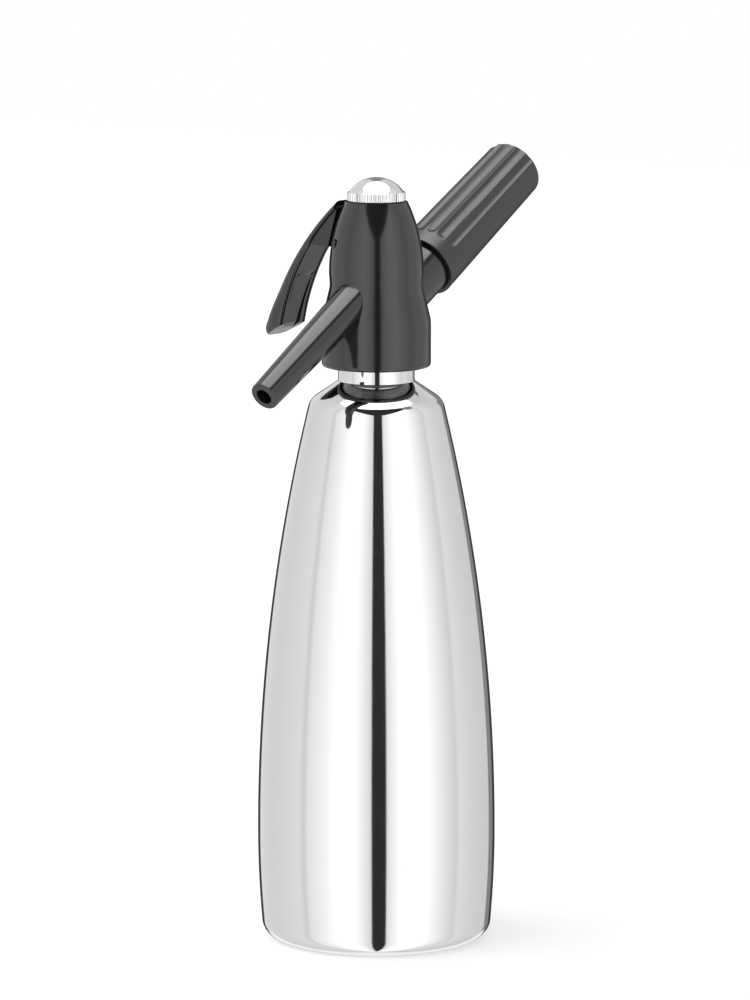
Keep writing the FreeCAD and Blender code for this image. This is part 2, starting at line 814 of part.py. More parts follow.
def make_stem():
    """The lifting stem, its rubber disc, the screw that holds the disc and the closing spring."""
    stem = new_body("valve_stem")
    foot = as_size("seat_top") + "stem_seal_height"
    turned(stem, "section", [
        ("screw_shank", foot),
        ("stem_seal_radius", foot),
        ("stem_seal_radius", foot + "stem_flange_height"),
        ("stem_radius", foot + "stem_flange_height"),
        ("stem_radius", "stem_collar_bottom"),
        ("stem_collar_radius", "stem_collar_bottom"),
        ("stem_collar_radius", "stem_collar_top"),
        ("stem_radius", "stem_collar_top"),
        ("stem_radius", as_size("stem_top") - "stem_top_bevel"),
        (as_size("stem_radius") - "stem_top_bevel", "stem_top"),
        (0, "stem_top"),
        (0, foot + "screw_grip"),
        ("screw_shank", foot + "screw_grip"),
    ])
    ring_body("stem_seal", "screw_shank", "stem_seal_radius", "seat_top", foot)
    screw = new_body("seal_screw")
    turned(screw, "section", [
        (0, as_size("seat_top") - "screw_head_height"),
        ("screw_head_radius", as_size("seat_top") - "screw_head_height"),
        ("screw_head_radius", "seat_top"),
        ("screw_shank", "seat_top"),
        ("screw_shank", foot + "screw_grip" - "screw_end_gap"),
        (0, foot + "screw_grip" - "screw_end_gap"),
    ])
    make_spring()


def make_spring():
    """A coil from the stem's collar to the ceiling of the cap."""
    wire = as_size("spring_wire")
    low = as_size("stem_collar_top") + wire + "running_gap"
    high = as_size("cap_ceiling") - wire - "running_gap"
    coil = doc.addObject("Part::Helix", "spring_line")
    bind(coil, "Radius", "spring_radius")
    bind(coil, "Height", high - low)
    bind(coil, "Pitch", (high - low) / as_size("spring_turns"))
    place(coil, spot=(0, 0, low))
    circle = doc.addObject("Part::Circle", "spring_wire_section")
    bind(circle, "Radius", wire)
    place(circle, spot=("spring_radius", 0, low), turn=90)
    doc.recompute()
    spring = doc.addObject("Part::Sweep", "stem_spring")
    spring.Label = "stem_spring"
    spring.Sections = [circle]
    spring.Spine = (coil, [])
    spring.Solid = True
    spring.Frenet = True
    doc.recompute()
    return spring


def make_lever():
    """The squeeze lever. Its own +X points out of the head, so the body is turned half round."""
    lever = new_body("lever_blank", turn=180, axis=(0, 0, 1))
    slab(lever, "crown", [
        ("crown_foot_across", "crown_foot_height", as_size("lever_crown_curve") * -1.0),
        ("crown_top_across", "crown_top_height"),
        ("rim_top_across", "rim_top_height", "lever_rim_curve"),
        ("rim_foot_across", "rim_foot_height"),
        ("tip_across", "tip_height"),
    ], as_size("lever_half_width") * 2.0)
    rounded(lever, "crown_round", long_crown_edges, "lever_crown_rounding")
    clear = as_size("recess_top_across") - "recess_clear"
    slab(lever, "recess", [
        ("recess_top_across", "recess_top_height", "lever_rim_curve"),
        ("recess_foot_across", "recess_foot_height"),
        (clear, "recess_foot_height"),
        (clear, "recess_top_height"),
    ], (as_size("lever_half_width") - "lever_wall") * 2.0, "Pocket")
    pivot = (as_size("pivot_offset"), as_size("pivot_height"))
    slab(lever, "web", [
        (pivot[0], pivot[1] - "hub_radius"),
        ("web_foot_across", "web_foot_height"),
        ("web_back_across", "web_back_height"),
        ("web_top_across", "web_top_height"),
        (pivot[0], pivot[1] + "hub_radius", as_size("hub_radius") * -1.0),
        (pivot[0] - "hub_radius", pivot[1], as_size("hub_radius") * -1.0),
    ], as_size("web_half_width") * 2.0)
    slab(lever, "fork", [
        (as_size("fork_reach") * -1.0, "fork_bottom"),
        ("fork_step", "fork_bottom"),
        (as_size("fork_step") + "fork_slant", "fork_root_bottom"),
        ("fork_root", "fork_root_bottom"),
        ("fork_root", "fork_top"),
        (as_size("fork_reach") * -1.0, "fork_top"),
    ], as_size("web_half_width") * 2.0)
    behind = as_size("fork_reach") * -1.0 - "overrun"
    slab(lever, "stem_gap", [
        (behind, as_size("fork_bottom") - "overrun"),
        ("fork_gap", as_size("fork_bottom") - "overrun"),
        ("fork_gap", as_size("fork_top") + "overrun"),
        (behind, as_size("fork_top") + "overrun"),
    ], as_size("fork_gap") * 2.0, "Pocket")
    bore = rod("lever_pivot_bore", as_size("pin_radius") + "running_gap", as_size("pivot_bore_half") * 2.0,
               spot=(as_size("pivot_offset") * -1.0, "pivot_bore_half", "pivot_height"), turn=90)
    return cut_solid("squeeze_lever", lever, bore)


def long_crown_edges(edge):
    """Picks the two long edges of the lever's outer curve."""
    circle = circle_of(edge)
    return bool(circle) and abs(circle.Radius - DIMENSIONS["lever_crown_curve"]) < 0.01


def make_spout():
    """The tapered spout with the shank that screws into the core."""
    body = new_body("spout", **down_the_spout(0.0))
    groove = as_size("spout_shank_radius") - "spout_groove_depth"
    turned(body, "section", [
        ("spout_passage", "spout_shank_start"),
        ("spout_shank_radius", "spout_shank_start"),
        ("spout_shank_radius", "spout_groove_start"),
        (groove, "spout_groove_start"),
        (groove, "spout_groove_end"),
        ("spout_shank_radius", "spout_groove_end"),
        ("spout_shank_radius", "spout_root"),
        ("spout_root_radius", "spout_root"),
        ("spout_tip_radius", "spout_tip"),
        ("spout_bore", "spout_tip"),
        ("spout_bore", "spout_bore_end"),
        ("spout_passage", as_size("spout_bore_end") - "spout_bore_cone"),
    ])
    rounded(body, "tip_round", ring_at("spout_tip_radius", "spout_tip"), "spout_tip_rounding")
    middle = (as_size("spout_groove_start") + "spout_groove_end") / 2.0
    o_ring("spout_o_ring", as_size("spout_shank_radius") - "spout_ring_wire", "spout_ring_wire",
           **down_the_spout(middle))


def make_charger_side():
    """The arm that carries the charger, what opens and seals the charger, and the charger."""
    arm = new_body("inlet_arm", **up_the_holder(0.0))
    groove = as_size("arm_shank_radius") - "arm_groove_depth"
    turned(arm, "section", [
        ("arm_gas_bore", "arm_shank_start"),
        ("arm_shank_radius", "arm_shank_start"),
        ("arm_shank_radius", "arm_groove_start"),
        (groove, "arm_groove_start"),
        (groove, "arm_groove_end"),
        ("arm_shank_radius", "arm_groove_end"),
        ("arm_shank_radius", "arm_boss_end"),
        ("arm_boss_radius", "arm_boss_end"),
        ("arm_boss_radius", "arm_root"),
        ("arm_radius", "arm_root"),
        ("arm_radius", "arm_thread_start"),
        ("arm_thread_root", as_size("arm_thread_start") + "arm_thread_relief"),
        ("arm_thread_root", "arm_end"),
        ("charger_socket", "arm_end"),
        ("charger_socket", "piercer_top"),
        ("piercer_radius", "piercer_top"),
        ("piercer_radius", "piercer_bottom"),
        ("arm_gas_bore", "piercer_bottom"),
    ])
    inside = as_size("arm_thread_root") - "thread_overlap"
    lead = as_size("arm_thread_lead")
    crest = (as_size("arm_thread_width") - "arm_thread_crest") / 2.0
    ridge = turned(arm, "thread_ridge", [
        (inside, lead),
        ("arm_thread_root", lead),
        ("arm_radius", lead + crest),
        ("arm_radius", lead + crest + "arm_thread_crest"),
        ("arm_thread_root", lead + "arm_thread_width"),
        (inside, lead + "arm_thread_width"),
    ])
    repeated(arm, ridge, "thread", as_size("arm_thread_pitch"), ARM_RIDGES)
    middle = (as_size("arm_groove_start") + "arm_groove_end") / 2.0
    o_ring("arm_o_ring", as_size("arm_shank_radius") - "arm_ring_wire", "arm_ring_wire",
           **up_the_holder(middle))
    where = up_the_holder(0.0)
    ring_body("piercer_seat", "needle_radius", "piercer_radius", "piercer_bottom", "piercer_top", **where)
    ring_body("piercer_needle", as_size("needle_radius") - "needle_wall", "needle_radius",
              as_size("piercer_bottom") + "needle_root", "needle_tip", **where)
    ring_body("piercer_gasket", as_size("needle_radius") + "needle_clearance",
              as_size("piercer_radius") - "piercer_gasket_gap", "piercer_top", "charger_tip", **where)
    charger = new_body("gas_charger", **where)
    dome_start = as_size("charger_end") - "charger_radius"
    inner = as_size("charger_radius") - "charger_wall"
    hole = as_size("needle_radius") + "charger_hole_gap"
    turned(charger, "section", [
        (hole, "charger_tip"),
        ("charger_neck_radius", "charger_tip"),
        ("charger_neck_radius", "charger_neck_end"),
        ("charger_radius", "charger_shoulder_end"),
        ("charger_radius", dome_start, as_size("charger_radius") * -1.0),
        (0, "charger_end"),
        (0, as_size("charger_end") - "charger_wall", inner),
        (inner, dome_start),
        (inner, as_size("charger_shoulder_end") + "charger_inner_rise"),
        (as_size("charger_neck_radius") - "charger_neck_wall",
         as_size("charger_neck_end") + "charger_inner_rise"),
        (hole, as_size("charger_neck_end") - "charger_neck_depth"),
    ])
    rounded(charger, "shoulder_round", ring_at("charger_radius", "charger_shoulder_end"),
            "charger_shoulder_rounding")
    ring_body("sleeve_cushion", "cushion_bore", as_size("sleeve_bore") - "cushion_side_gap",
              as_size("charger_end") + "cushion_low_gap",
              as_size("sleeve_floor") - "cushion_high_gap", **where)


def sleeve_radius(distance):
    """Outer radius of the charger sleeve at a distance along its axis."""
    length = as_size("sleeve_end") - "sleeve_rim"
    taper = (as_size("sleeve_rim_radius") - "sleeve_end_radius") / length
    return as_size("sleeve_rim_radius") - taper * (as_size(distance) - "sleeve_rim")


def make_charger_sleeve():
    """The fluted sleeve that holds the charger and screws on to the arm."""
    blank = new_body("sleeve_blank", **up_the_holder(0.0))
    turned(blank, "section", [
        ("sleeve_thread_bore", "sleeve_rim"),
        (as_size("sleeve_rim_radius") - "sleeve_rim_bevel", "sleeve_rim"),
        ("sleeve_rim_radius", as_size("sleeve_rim") + "sleeve_rim_bevel"),
        ("sleeve_end_radius", "sleeve_end"),
        (0, "sleeve_end"),
        (0, "sleeve_floor"),
        ("sleeve_bore", "sleeve_floor"),
        ("sleeve_bore", "sleeve_step"),
        ("sleeve_thread_bore", as_size("sleeve_step") - "sleeve_step_cone"),
    ])
    rounded(blank, "end_round", ring_on_axis("sleeve_end_radius"), "sleeve_end_rounding")
    cutters = []
    slope = DIMENSIONS["holder_slope"]
    for group in (0.0, 180.0):
        for index in range(FLUTES_PER_GROUP):
            middle = (FLUTES_PER_GROUP - 1) / 2
            angle = DIMENSIONS["flute_group_angle"] + group + (index - middle) * DIMENSIONS["flute_pitch"]
            cutters += flute_cutter(angle, slope)
    return cut_solid("charger_sleeve", blank, joined_solid("sleeve_flutes", *cutters))


def flute_cutter(angle, slope):
    """A ball-ended cutter that leaves one shallow flute along the tapered sleeve."""
    start = as_size("flute_start")
    length = as_size("sleeve_end") - start + "flute_overrun"
    offset = (sleeve_radius(start) + "flute_radius" - "flute_depth").number
    taper = math.degrees(math.atan((sleeve_radius(0.0).number - sleeve_radius(1.0).number)))
    axis_turn = FreeCAD.Rotation(FreeCAD.Vector(1, 0, 0), slope - 90)
    round_turn = FreeCAD.Rotation(FreeCAD.Vector(0, 0, 1), angle)
    lean = FreeCAD.Rotation(FreeCAD.Vector(0, 1, 0), -taper)
    turn = axis_turn.multiply(round_turn)
    corner = FreeCAD.Vector(0, 0, DIMENSIONS["holder_axis_height"])
    spot = corner + turn.multVec(FreeCAD.Vector(offset, 0, start.number))
    cylinder = doc.addObject("Part::Cylinder", "flute_bar")
    bind(cylinder, "Radius", "flute_radius")
    bind(cylinder, "Height", length)
    cylinder.Placement = FreeCAD.Placement(spot, turn.multiply(lean))
    ball = doc.addObject("Part::Sphere", "flute_ball")
    bind(ball, "Radius", "flute_radius")
    ball.Placement = FreeCAD.Placement(spot, FreeCAD.Rotation())
    return [cylinder, ball]


def ring_on_axis(radius):
    """Picks a full circle by its radius alone."""
    radius = as_size(radius).number

    def picks(edge):
        circle = circle_of(edge)
        return bool(circle) and abs(circle.Radius - radius) < 0.01

    return picks


def make_cap():
    """The chrome cap: a skirt, a knurled ring and a dome; and the washer under it."""
    ring_body("cap_washer", as_size("cap_bore") + "washer_inner_gap",
              as_size("barrel_radius") - "washer_outer_gap", "barrel_top", "cap_ring_bottom")
    cap = new_body("cap_nut")
    dome = as_size("cap_dome_top") - "cap_ring_top"
    dome_curve = (as_size("cap_dome_radius") * "cap_dome_radius" + dome * dome) / (dome * 2.0)
    turned(cap, "section", [
        ("cap_skirt_bore", "cap_skirt_bottom"),
        ("cap_skirt_radius", "cap_skirt_bottom"),
        ("cap_skirt_radius", "cap_ring_bottom"),
        (as_size("cap_ring_radius") - "cap_ring_low_bevel", "cap_ring_bottom"),
        ("cap_ring_radius", as_size("cap_ring_bottom") + "cap_ring_low_bevel"),
        ("cap_ring_radius", as_size("cap_ring_top") - "cap_ring_high_bevel"),
        (as_size("cap_ring_radius") - "cap_ring_high_bevel", "cap_ring_top"),
        ("cap_dome_radius", "cap_ring_top", dome_curve * -1.0),
        (0, "cap_dome_top"),
        (0, "cap_ceiling"),
        ("cap_skirt_bore", "cap_ceiling"),
    ])
    notch = outline(cap, "knurl", [
        (as_size("cap_ring_radius") - "knurl_depth", 0),
        (as_size("cap_ring_radius") + "knurl_reach", as_size("knurl_half_width") * -1.0),
        (as_size("cap_ring_radius") + "knurl_reach", "knurl_half_width"),
    ], "XY_Plane")
    overrun = as_size("knurl_overrun")
    lowest = as_size("cap_ring_bottom") - overrun
    notch.AttachmentOffset = FreeCAD.Placement(FreeCAD.Vector(0, 0, lowest.number), FreeCAD.Rotation())
    groove = cap.newObject("PartDesign::Pocket", "cap_knurl_groove")
    groove.Profile = notch
    bind(groove, "Length", as_size("cap_ring_top") - "cap_ring_bottom" + overrun * 2.0)
    groove.Reversed = True
    doc.recompute()
    pattern = cap.newObject("PartDesign::PolarPattern", "cap_knurls")
    pattern.Originals = [groove]
    pattern.Axis = (notch, ["N_Axis"])
    pattern.Angle = 360.0
    pattern.Occurrences = int(DIMENSIONS["knurl_count"])
    cap.Tip = pattern
    doc.recompute()


NODES = [
    "bottle", "neck_ferrule", "head_gasket", "dip_tube", "tube_seal", "valve_body", "valve_seat",
    "head_cover", "gland_nut", "gland_o_ring", "lever_pin", "spout", "spout_o_ring", "inlet_arm",
    "arm_o_ring", "piercer_seat", "piercer_needle", "piercer_gasket", "check_flap", "stem_spring",
    "valve_stem", "stem_seal", "seal_screw", "squeeze_lever", "cap_washer", "cap_nut", "gas_charger",
    "charger_sleeve", "sleeve_cushion",
]


def check_and_write():
    """Stops on a failed object or a bad shape, then writes one file for each sub-part."""
    failed = [thing.Name for thing in doc.Objects if {"Invalid", "Error"} & set(thing.State)]
    if failed:
        raise RuntimeError(f"failed objects: {failed}")
    os.makedirs("parts", exist_ok=True)
    for node in NODES:
        shape = doc.getObjectsByLabel(node)[0].Shape
        if shape.isNull() or not shape.isValid() or not shape.Solids:
            raise RuntimeError(f"bad shape: {node}")
        shape.exportStep(f"parts/{node}.step")
        box_of = shape.BoundBox
        print(f"{node:16s} solids {len(shape.Solids)} volume {shape.Volume:10.1f}"
              f"  x {box_of.XMin:7.2f} {box_of.XMax:7.2f}  y {box_of.YMin:7.2f} {box_of.YMax:7.2f}"
              f"  z {box_of.ZMin:7.2f} {box_of.ZMax:7.2f}")


fill_sheet()
make_bottle()
make_neck_ferrule()
make_riser()
make_valve_body()
make_valve_parts()
make_head_cover()
make_stem()
make_lever()
make_spout()
make_charger_side()
make_charger_sleeve()
make_cap()
doc.recompute()
check_and_write()
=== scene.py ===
"""Dresses a soda siphon: a polished steel bottle with a black moulded head, lever, spout and charger sleeve."""
import json
import math
from collections import namedtuple

import bmesh
import bpy
from bpy.props import FloatProperty, FloatVectorProperty, IntProperty, PointerProperty
from mathutils import Matrix, Vector

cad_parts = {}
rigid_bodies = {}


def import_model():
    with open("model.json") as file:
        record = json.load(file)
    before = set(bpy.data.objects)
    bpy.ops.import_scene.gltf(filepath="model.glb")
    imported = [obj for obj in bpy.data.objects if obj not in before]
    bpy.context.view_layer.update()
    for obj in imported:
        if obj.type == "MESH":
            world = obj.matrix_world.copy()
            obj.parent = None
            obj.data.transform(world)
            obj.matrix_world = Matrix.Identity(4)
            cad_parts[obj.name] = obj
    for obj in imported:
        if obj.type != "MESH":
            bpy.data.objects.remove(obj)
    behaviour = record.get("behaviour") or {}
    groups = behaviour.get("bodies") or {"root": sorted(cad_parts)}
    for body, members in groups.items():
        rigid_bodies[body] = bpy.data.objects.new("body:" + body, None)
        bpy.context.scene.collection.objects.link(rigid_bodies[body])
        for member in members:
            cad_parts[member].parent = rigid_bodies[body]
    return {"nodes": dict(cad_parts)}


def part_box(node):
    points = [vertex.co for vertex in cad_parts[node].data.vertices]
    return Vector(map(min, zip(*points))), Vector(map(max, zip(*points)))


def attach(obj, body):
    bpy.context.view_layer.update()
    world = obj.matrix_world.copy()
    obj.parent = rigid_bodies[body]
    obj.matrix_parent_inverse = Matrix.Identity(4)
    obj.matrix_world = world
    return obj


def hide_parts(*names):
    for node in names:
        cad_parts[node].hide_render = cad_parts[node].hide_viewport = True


for leftover in list(bpy.data.objects):
    bpy.data.objects.remove(leftover)
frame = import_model()

bl_info = {
    "name": "Soda siphon",
    "version": (1, 0, 0),
    "blender": (4, 5, 0),
    "location": "3D View > Sidebar > Siphon",
    "description": "Soda siphon with a polished bottle, moulded head, squeeze lever, spout and charger sleeve",
    "category": "Add Mesh",
}

MM = 0.001
FULL_TURN = 2 * math.pi


def linear(colour):
    """An sRGB hex colour, such as "#1a1a1a", as linear red, green and blue."""
    shares = [int(colour[start:start + 2], 16) / 255 for start in (1, 3, 5)]
    return [share / 12.92 if share <= 0.04045 else ((share + 0.055) / 1.055) ** 2.4 for share in shares]


# Sizes and colours that a user would change

def length(name, description, millimetres):
    """A length property, shown in the scene's units."""
    return FloatProperty(name=name, description=description, default=millimetres * MM, min=0.0,
                         precision=5, subtype="DISTANCE", unit="LENGTH")


def point(name, description, across, up):
    """A point's distance from the bottle's axis and its height."""
    return FloatVectorProperty(name=name, description=description, default=(across * MM, up * MM), size=2,
                               precision=5, unit="LENGTH")


def angle(name, description, degrees):
    """An angle property."""
    return FloatProperty(name=name, description=description, default=math.radians(degrees), subtype="ANGLE")


def colour(name, description, hexadecimal):
    """A colour property."""
    return FloatVectorProperty(name=name, description=description, default=linear(hexadecimal), size=3,
                               min=0.0, max=1.0, subtype="COLOR")


def top_of(node):
    """Height of a node's highest point, in millimetres."""
    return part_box(node)[1].z / MM


def half_width(node):
    """Half a node's width along Y, in millimetres."""
    low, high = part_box(node)
    return (high.y - low.y) / 2 / MM


class BottleSizes(bpy.types.PropertyGroup):
    """Sizes of the bottle and the collar round its neck."""
    radius: length("Radius", "Radius at the widest part", 50.3)
    widest_height: length("Widest height", "Height of the widest part", 45.0)
    side_curve: length("Side curve", "Radius of the arc that the side follows above the widest part", 775.0)
    foot_curve: length("Foot curve", "Radius of the arc below the widest part", 430.0)
    foot_ring: length("Foot ring", "Radius of the ring that the bottle stands on", 34.0)
    foot_rise: length("Foot rise", "Height of the dome pressed into the bottom", 5.0)
    foot_rounding: length("Foot rounding", "Rounding of the lower edge", 7.2)
    shoulder_height: length("Shoulder height", "Height where side and shoulder would meet", 229.5)
    shoulder_slope: angle("Shoulder slope", "Slope of the shoulder", 34.0)
    shoulder_rounding: length("Shoulder rounding", "Rounding between side and shoulder", 8.0)
    neck_radius: length("Neck radius", "Outer radius of the neck", 14.0)
    neck_rounding: length("Neck rounding", "Rounding between shoulder and neck", 1.5)
    rim_height: length("Rim height", "Height of the rim", top_of("bottle"))
    wall: length("Wall", "Thickness of the drawn sheet", 1.0)
    collar_foot: length("Collar foot", "Radius of the collar where it meets the shoulder",
                        half_width("neck_ferrule"))
    collar_radius: length("Collar radius", "Radius of the collar's straight part", 16.1)
    collar_straight: length("Collar straight", "Height where the collar's straight part starts", 238.6)
    thread_start: length("Thread start", "Height where the neck's thread starts", 243.6)
    thread_root: length("Thread root", "Radius at the bottom of the thread", 15.3)
    thread_pitch: length("Thread pitch", "Distance from one thread ridge to the next", 3.0)
    thread_width: length("Thread width", "Width of a thread ridge at its root", 1.7)
    thread_ridges: IntProperty(name="Thread ridges", description="Number of thread ridges", default=3, min=1)


class HeadSizes(bpy.types.PropertyGroup):
    """Sizes of the head's cover and of the cap on top of it."""
    bottom: length("Bottom", "Height of the cover's lower edge", 243.4)
    radius: length("Radius", "Radius of the cover's lower part", half_width("head_cover"))
    bottom_rounding: length("Bottom rounding", "Rounding of the lower edge", 1.8)
    lip: length("Lip", "Width of the lower edge", 2.3)
    shoulder_height: length("Shoulder height", "Height where the cover starts to narrow", 263.0)
    shoulder_blend: length("Shoulder blend", "Radius of the bend there", 16.0)
    waist_radius: length("Waist radius", "Radius at the waist", 19.5)
    waist_low: length("Waist height", "Height where the waist starts", 277.5)
    waist_high: length("Bell height", "Height where the bell's curve starts", 283.0)
    waist_blend: length("Waist blend", "Radius of the bend at the waist", 10.0)
    top: length("Top", "Height of the cover's top", top_of("head_cover"))
    top_radius: length("Top radius", "Radius at the cover's top", 13.1)
    bell_curve: length("Bell curve", "Radius of the arc that the bell follows", 69.6)
    mouth_radius: length("Mouth radius", "Radius of the opening at the top", 12.15)
    wall: length("Wall", "Thickness of the moulded wall", 1.9)
    slot_half: length("Slot half width", "Half the width of the lever's slot", 5.6)
    slot_bottom: length("Slot bottom", "Height of the slot's lower end", 288.2)
    slot_top: length("Slot top", "Height of the slot's upper end", 306.6)
    pin: point("Pin", "Middle of the lever's pin", 9.6, 296.0)
    pin_hole: length("Pin hole", "Radius of the pin's hole", 1.5)
    cap_bottom: length("Cap bottom", "Height of the lower end of the cap's skirt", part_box("cap_nut")[0].z / MM)
    cap_top: length("Cap top", "Height of the cap's top", top_of("cap_nut"))
    cap_skirt: length("Cap skirt", "Radius of the cap's skirt", 9.85)
    cap_bore: length("Cap bore", "Radius of the cap's bore", 8.0)
    cap_ceiling: length("Cap ceiling", "Height of the bore's end", 312.6)
    ring_bottom: length("Ring bottom", "Height of the knurled ring's lower edge", 313.3)
    ring_top: length("Ring top", "Height of the knurled ring's upper edge", 316.9)
    ring_radius: length("Ring radius", "Radius of the knurled ring", half_width("cap_nut"))
    dome_radius: length("Dome radius", "Radius of the dome's foot", 11.6)
    knurls: IntProperty(name="Knurls", description="Number of grooves round the ring", default=46, min=8)
    knurl_depth: length("Knurl depth", "Depth of a groove", 0.45)


class LeverSizes(bpy.types.PropertyGroup):
    """Sizes of the squeeze lever; a point is given by its distance from the bottle's axis and its height."""
    half_width: length("Half width", "Half the lever's width", half_width("squeeze_lever"))
    crown_rounding: length("Crown rounding", "Rounding of the outer face's long edges", 5.0)
    crown_curve: length("Crown curve", "Radius of the arc that the outer face follows", 150.0)
    crown_top: point("Crown top", "Upper end of the outer face", 15.2, 312.8)
    crown_foot: point("Crown foot", "Lower end of the outer face", 56.3, 255.2)
    rim_curve: length("Rim curve", "Radius of the arc that the inner face follows", 90.0)
    rim_top: point("Rim top", "Upper end of the inner face", 16.0, 309.2)
    rim_foot: point("Rim foot", "Lower end of the inner face", 45.2, 258.2)
    tip: point("Tip", "Inner edge of the tip", 54.6, 252.9)
    seam_width: length("Seam width", "Width of the seam round the inner face's panel", 1.0)
    seam_depth: length("Seam depth", "Depth of that seam", 1.3)
    panel_depth: length("Panel depth", "How deep the panel lies at its lower end", 1.3)
    rim_edge: length("Rim edge", "Rounding of the edge between side and inner face", 0.5)
    land_top: length("Land top", "Width of the rim outside the seam at the upper end", 1.9)
    land_foot: length("Land foot", "Width of the rim outside the seam at the lower end", 0.6)
    ledge_top: length("Ledge top", "Width of the ledge between seam and panel at the upper end", 0.6)
    ledge_foot: length("Ledge foot", "Width of that ledge at the lower end", 2.8)
    cheek_half: length("Cheek half width", "Half the web's width outside the cover", 7.4)
    cheek_top: point("Cheek top", "Upper inner corner of the wide web", 15.3, 309.6)
    cheek_back: point("Cheek back", "Upper outer corner of the wide web", 16.2, 311.4)
    cheek_foot: point("Cheek foot", "Lower inner corner of the wide web", 20.2, 293.1)
    web_half: length("Web half width", "Half the width of the web between lever and pivot", 5.0)
    web_foot: point("Web foot", "Lower corner of the web", 31.0, 293.6)
    web_back: point("Web back", "Outer corner of the web", 22.5, 305.6)
    web_top: point("Web top", "Upper corner of the web", 15.5, 303.6)
    hub: length("Hub", "Radius of the hub round the pin", 3.4)
    fork_top: length("Fork top", "Height of the fork's upper side", 301.2)
    fork_bottom: length("Fork bottom", "Height of the fork's lower side", 298.9)
    fork_reach: length("Fork reach", "How far the fork reaches past the bottle's axis", 1.2)
    fork_gap: length("Fork gap", "Half the gap that takes the stem", 2.5)


class BranchSizes(bpy.types.PropertyGroup):
    """Sizes along the axes of the spout and of the charger holder."""
    spout_slope: angle("Spout slope", "How far the spout points down", 30.0)
    spout_height: length("Spout height", "Height where the spout's axis meets the bottle's", 281.55)
    shank_start: length("Shank start", "Where the spout's shank starts", 8.6)
    shank_radius: length("Shank radius", "Radius of the shank", 4.55)
    spout_root: length("Spout root", "Where the spout's cone starts", 15.5)
    root_radius: length("Root radius", "Radius of the cone at its root", 8.22)
    spout_tip: length("Spout tip", "Where the spout ends", 86.6)
    tip_radius: length("Tip radius", "Radius of the tip", 6.2)
    tip_rounding: length("Tip rounding", "Rounding of the tip's edge", 0.7)
    spout_bore: length("Spout bore", "Radius of the bore", 3.5)
    bore_end: length("Bore end", "Where the wide bore ends", 24.0)
    passage: length("Passage", "Radius of the narrow passage", 2.2)
    holder_slope: angle("Holder slope", "How far the charger holder points up", 30.0)
    holder_height: length("Holder height", "Height where the holder's axis meets the bottle's", 264.4)
    arm_start: length("Arm start", "Where the arm's shank starts", 10.0)
    arm_shank: length("Arm shank", "Radius of the shank", 5.95)
    boss_start: length("Boss start", "Where the arm's boss starts", 15.0)
    boss_radius: length("Boss radius", "Radius of the boss", 9.6)
    arm_root: length("Arm root", "Where the arm's full radius starts", 17.5)
    arm_radius: length("Arm radius", "Radius of the arm", 12.4)
    arm_end: length("Arm end", "Where the arm ends", 58.0)
    arm_thread: length("Arm thread start", "Where the arm's thread starts", 39.3)
    arm_ridges: IntProperty(name="Arm ridges", description="Number of ridges in the arm's thread", default=7)
    arm_pitch: length("Arm pitch", "Distance from one ridge to the next", 2.0)
    arm_thread_root: length("Arm thread root", "Radius at the bottom of the thread", 11.8)
    arm_socket: length("Arm socket", "Radius of the socket for the charger", 9.4)
    socket_floor: length("Socket floor", "Where the socket ends", 41.0)
    arm_bore: length("Arm bore", "Radius of the gas passage", 1.5)
    sleeve_rim: length("Sleeve rim", "Where the sleeve starts", 36.9)
    rim_radius: length("Rim radius", "Radius of the sleeve's rim", 14.42)
    rim_bore: length("Rim bore", "Radius of the sleeve's threaded bore", 12.6)
    sleeve_step: length("Sleeve step", "Where the threaded bore ends", 60.0)
    sleeve_bore: length("Sleeve bore", "Radius of the bore round the charger", 9.5)
    sleeve_floor: length("Sleeve floor", "Where the bore ends", 110.4)
    sleeve_end: length("Sleeve end", "Where the sleeve ends", 111.8)
    end_radius: length("End radius", "Radius of the sleeve's end", 13.03)
    end_rounding: length("End rounding", "Rounding of the sleeve's end", 2.2)
    flute_radius: length("Flute radius", "Radius of a flute's section", 4.3)
    flute_depth: length("Flute depth", "Depth of a flute", 0.95)
    flute_start: length("Flute start", "Where the flutes start", 46.5)
    flute_pitch: angle("Flute pitch", "Angle from one flute to the next", 21.1)
    flute_group: angle("Flute group", "Angle of the middle flute of the first group", -73.0)
    flutes: IntProperty(name="Flutes", description="Number of flutes in each of the two groups", default=5)


class FinishColours(bpy.types.PropertyGroup):
    """Colours of the finishes that show."""
    steel: colour("Steel", "Polished stainless steel", "#c6c6c5")
    chrome: colour("Chrome", "Bright chrome plate", "#c8c9ca")
    plastic: colour("Plastic", "Black moulded plastic", "#191919")
    floor: colour("Floor", "Paper floor", "#f2f2f2")


class SiphonSettings(bpy.types.PropertyGroup):
    """Everything that the panel shows."""
    bottle: PointerProperty(type=BottleSizes)
    head: PointerProperty(type=HeadSizes)
    lever: PointerProperty(type=LeverSizes)
    branches: PointerProperty(type=BranchSizes)
    colours: PointerProperty(type=FinishColours)


# Outlines: a run of corners, each with the rounding of its corner or the arc that leaves it

Corner = namedtuple("Corner", "across up rounding curve", defaults=(0.0, 0.0))
ARC_STEP = math.radians(9)
FINE_ARC_STEP = 0.0016
MOST_ARC_STEPS = 120
MERGED = 1e-6
DEGENERATE = 1e-7


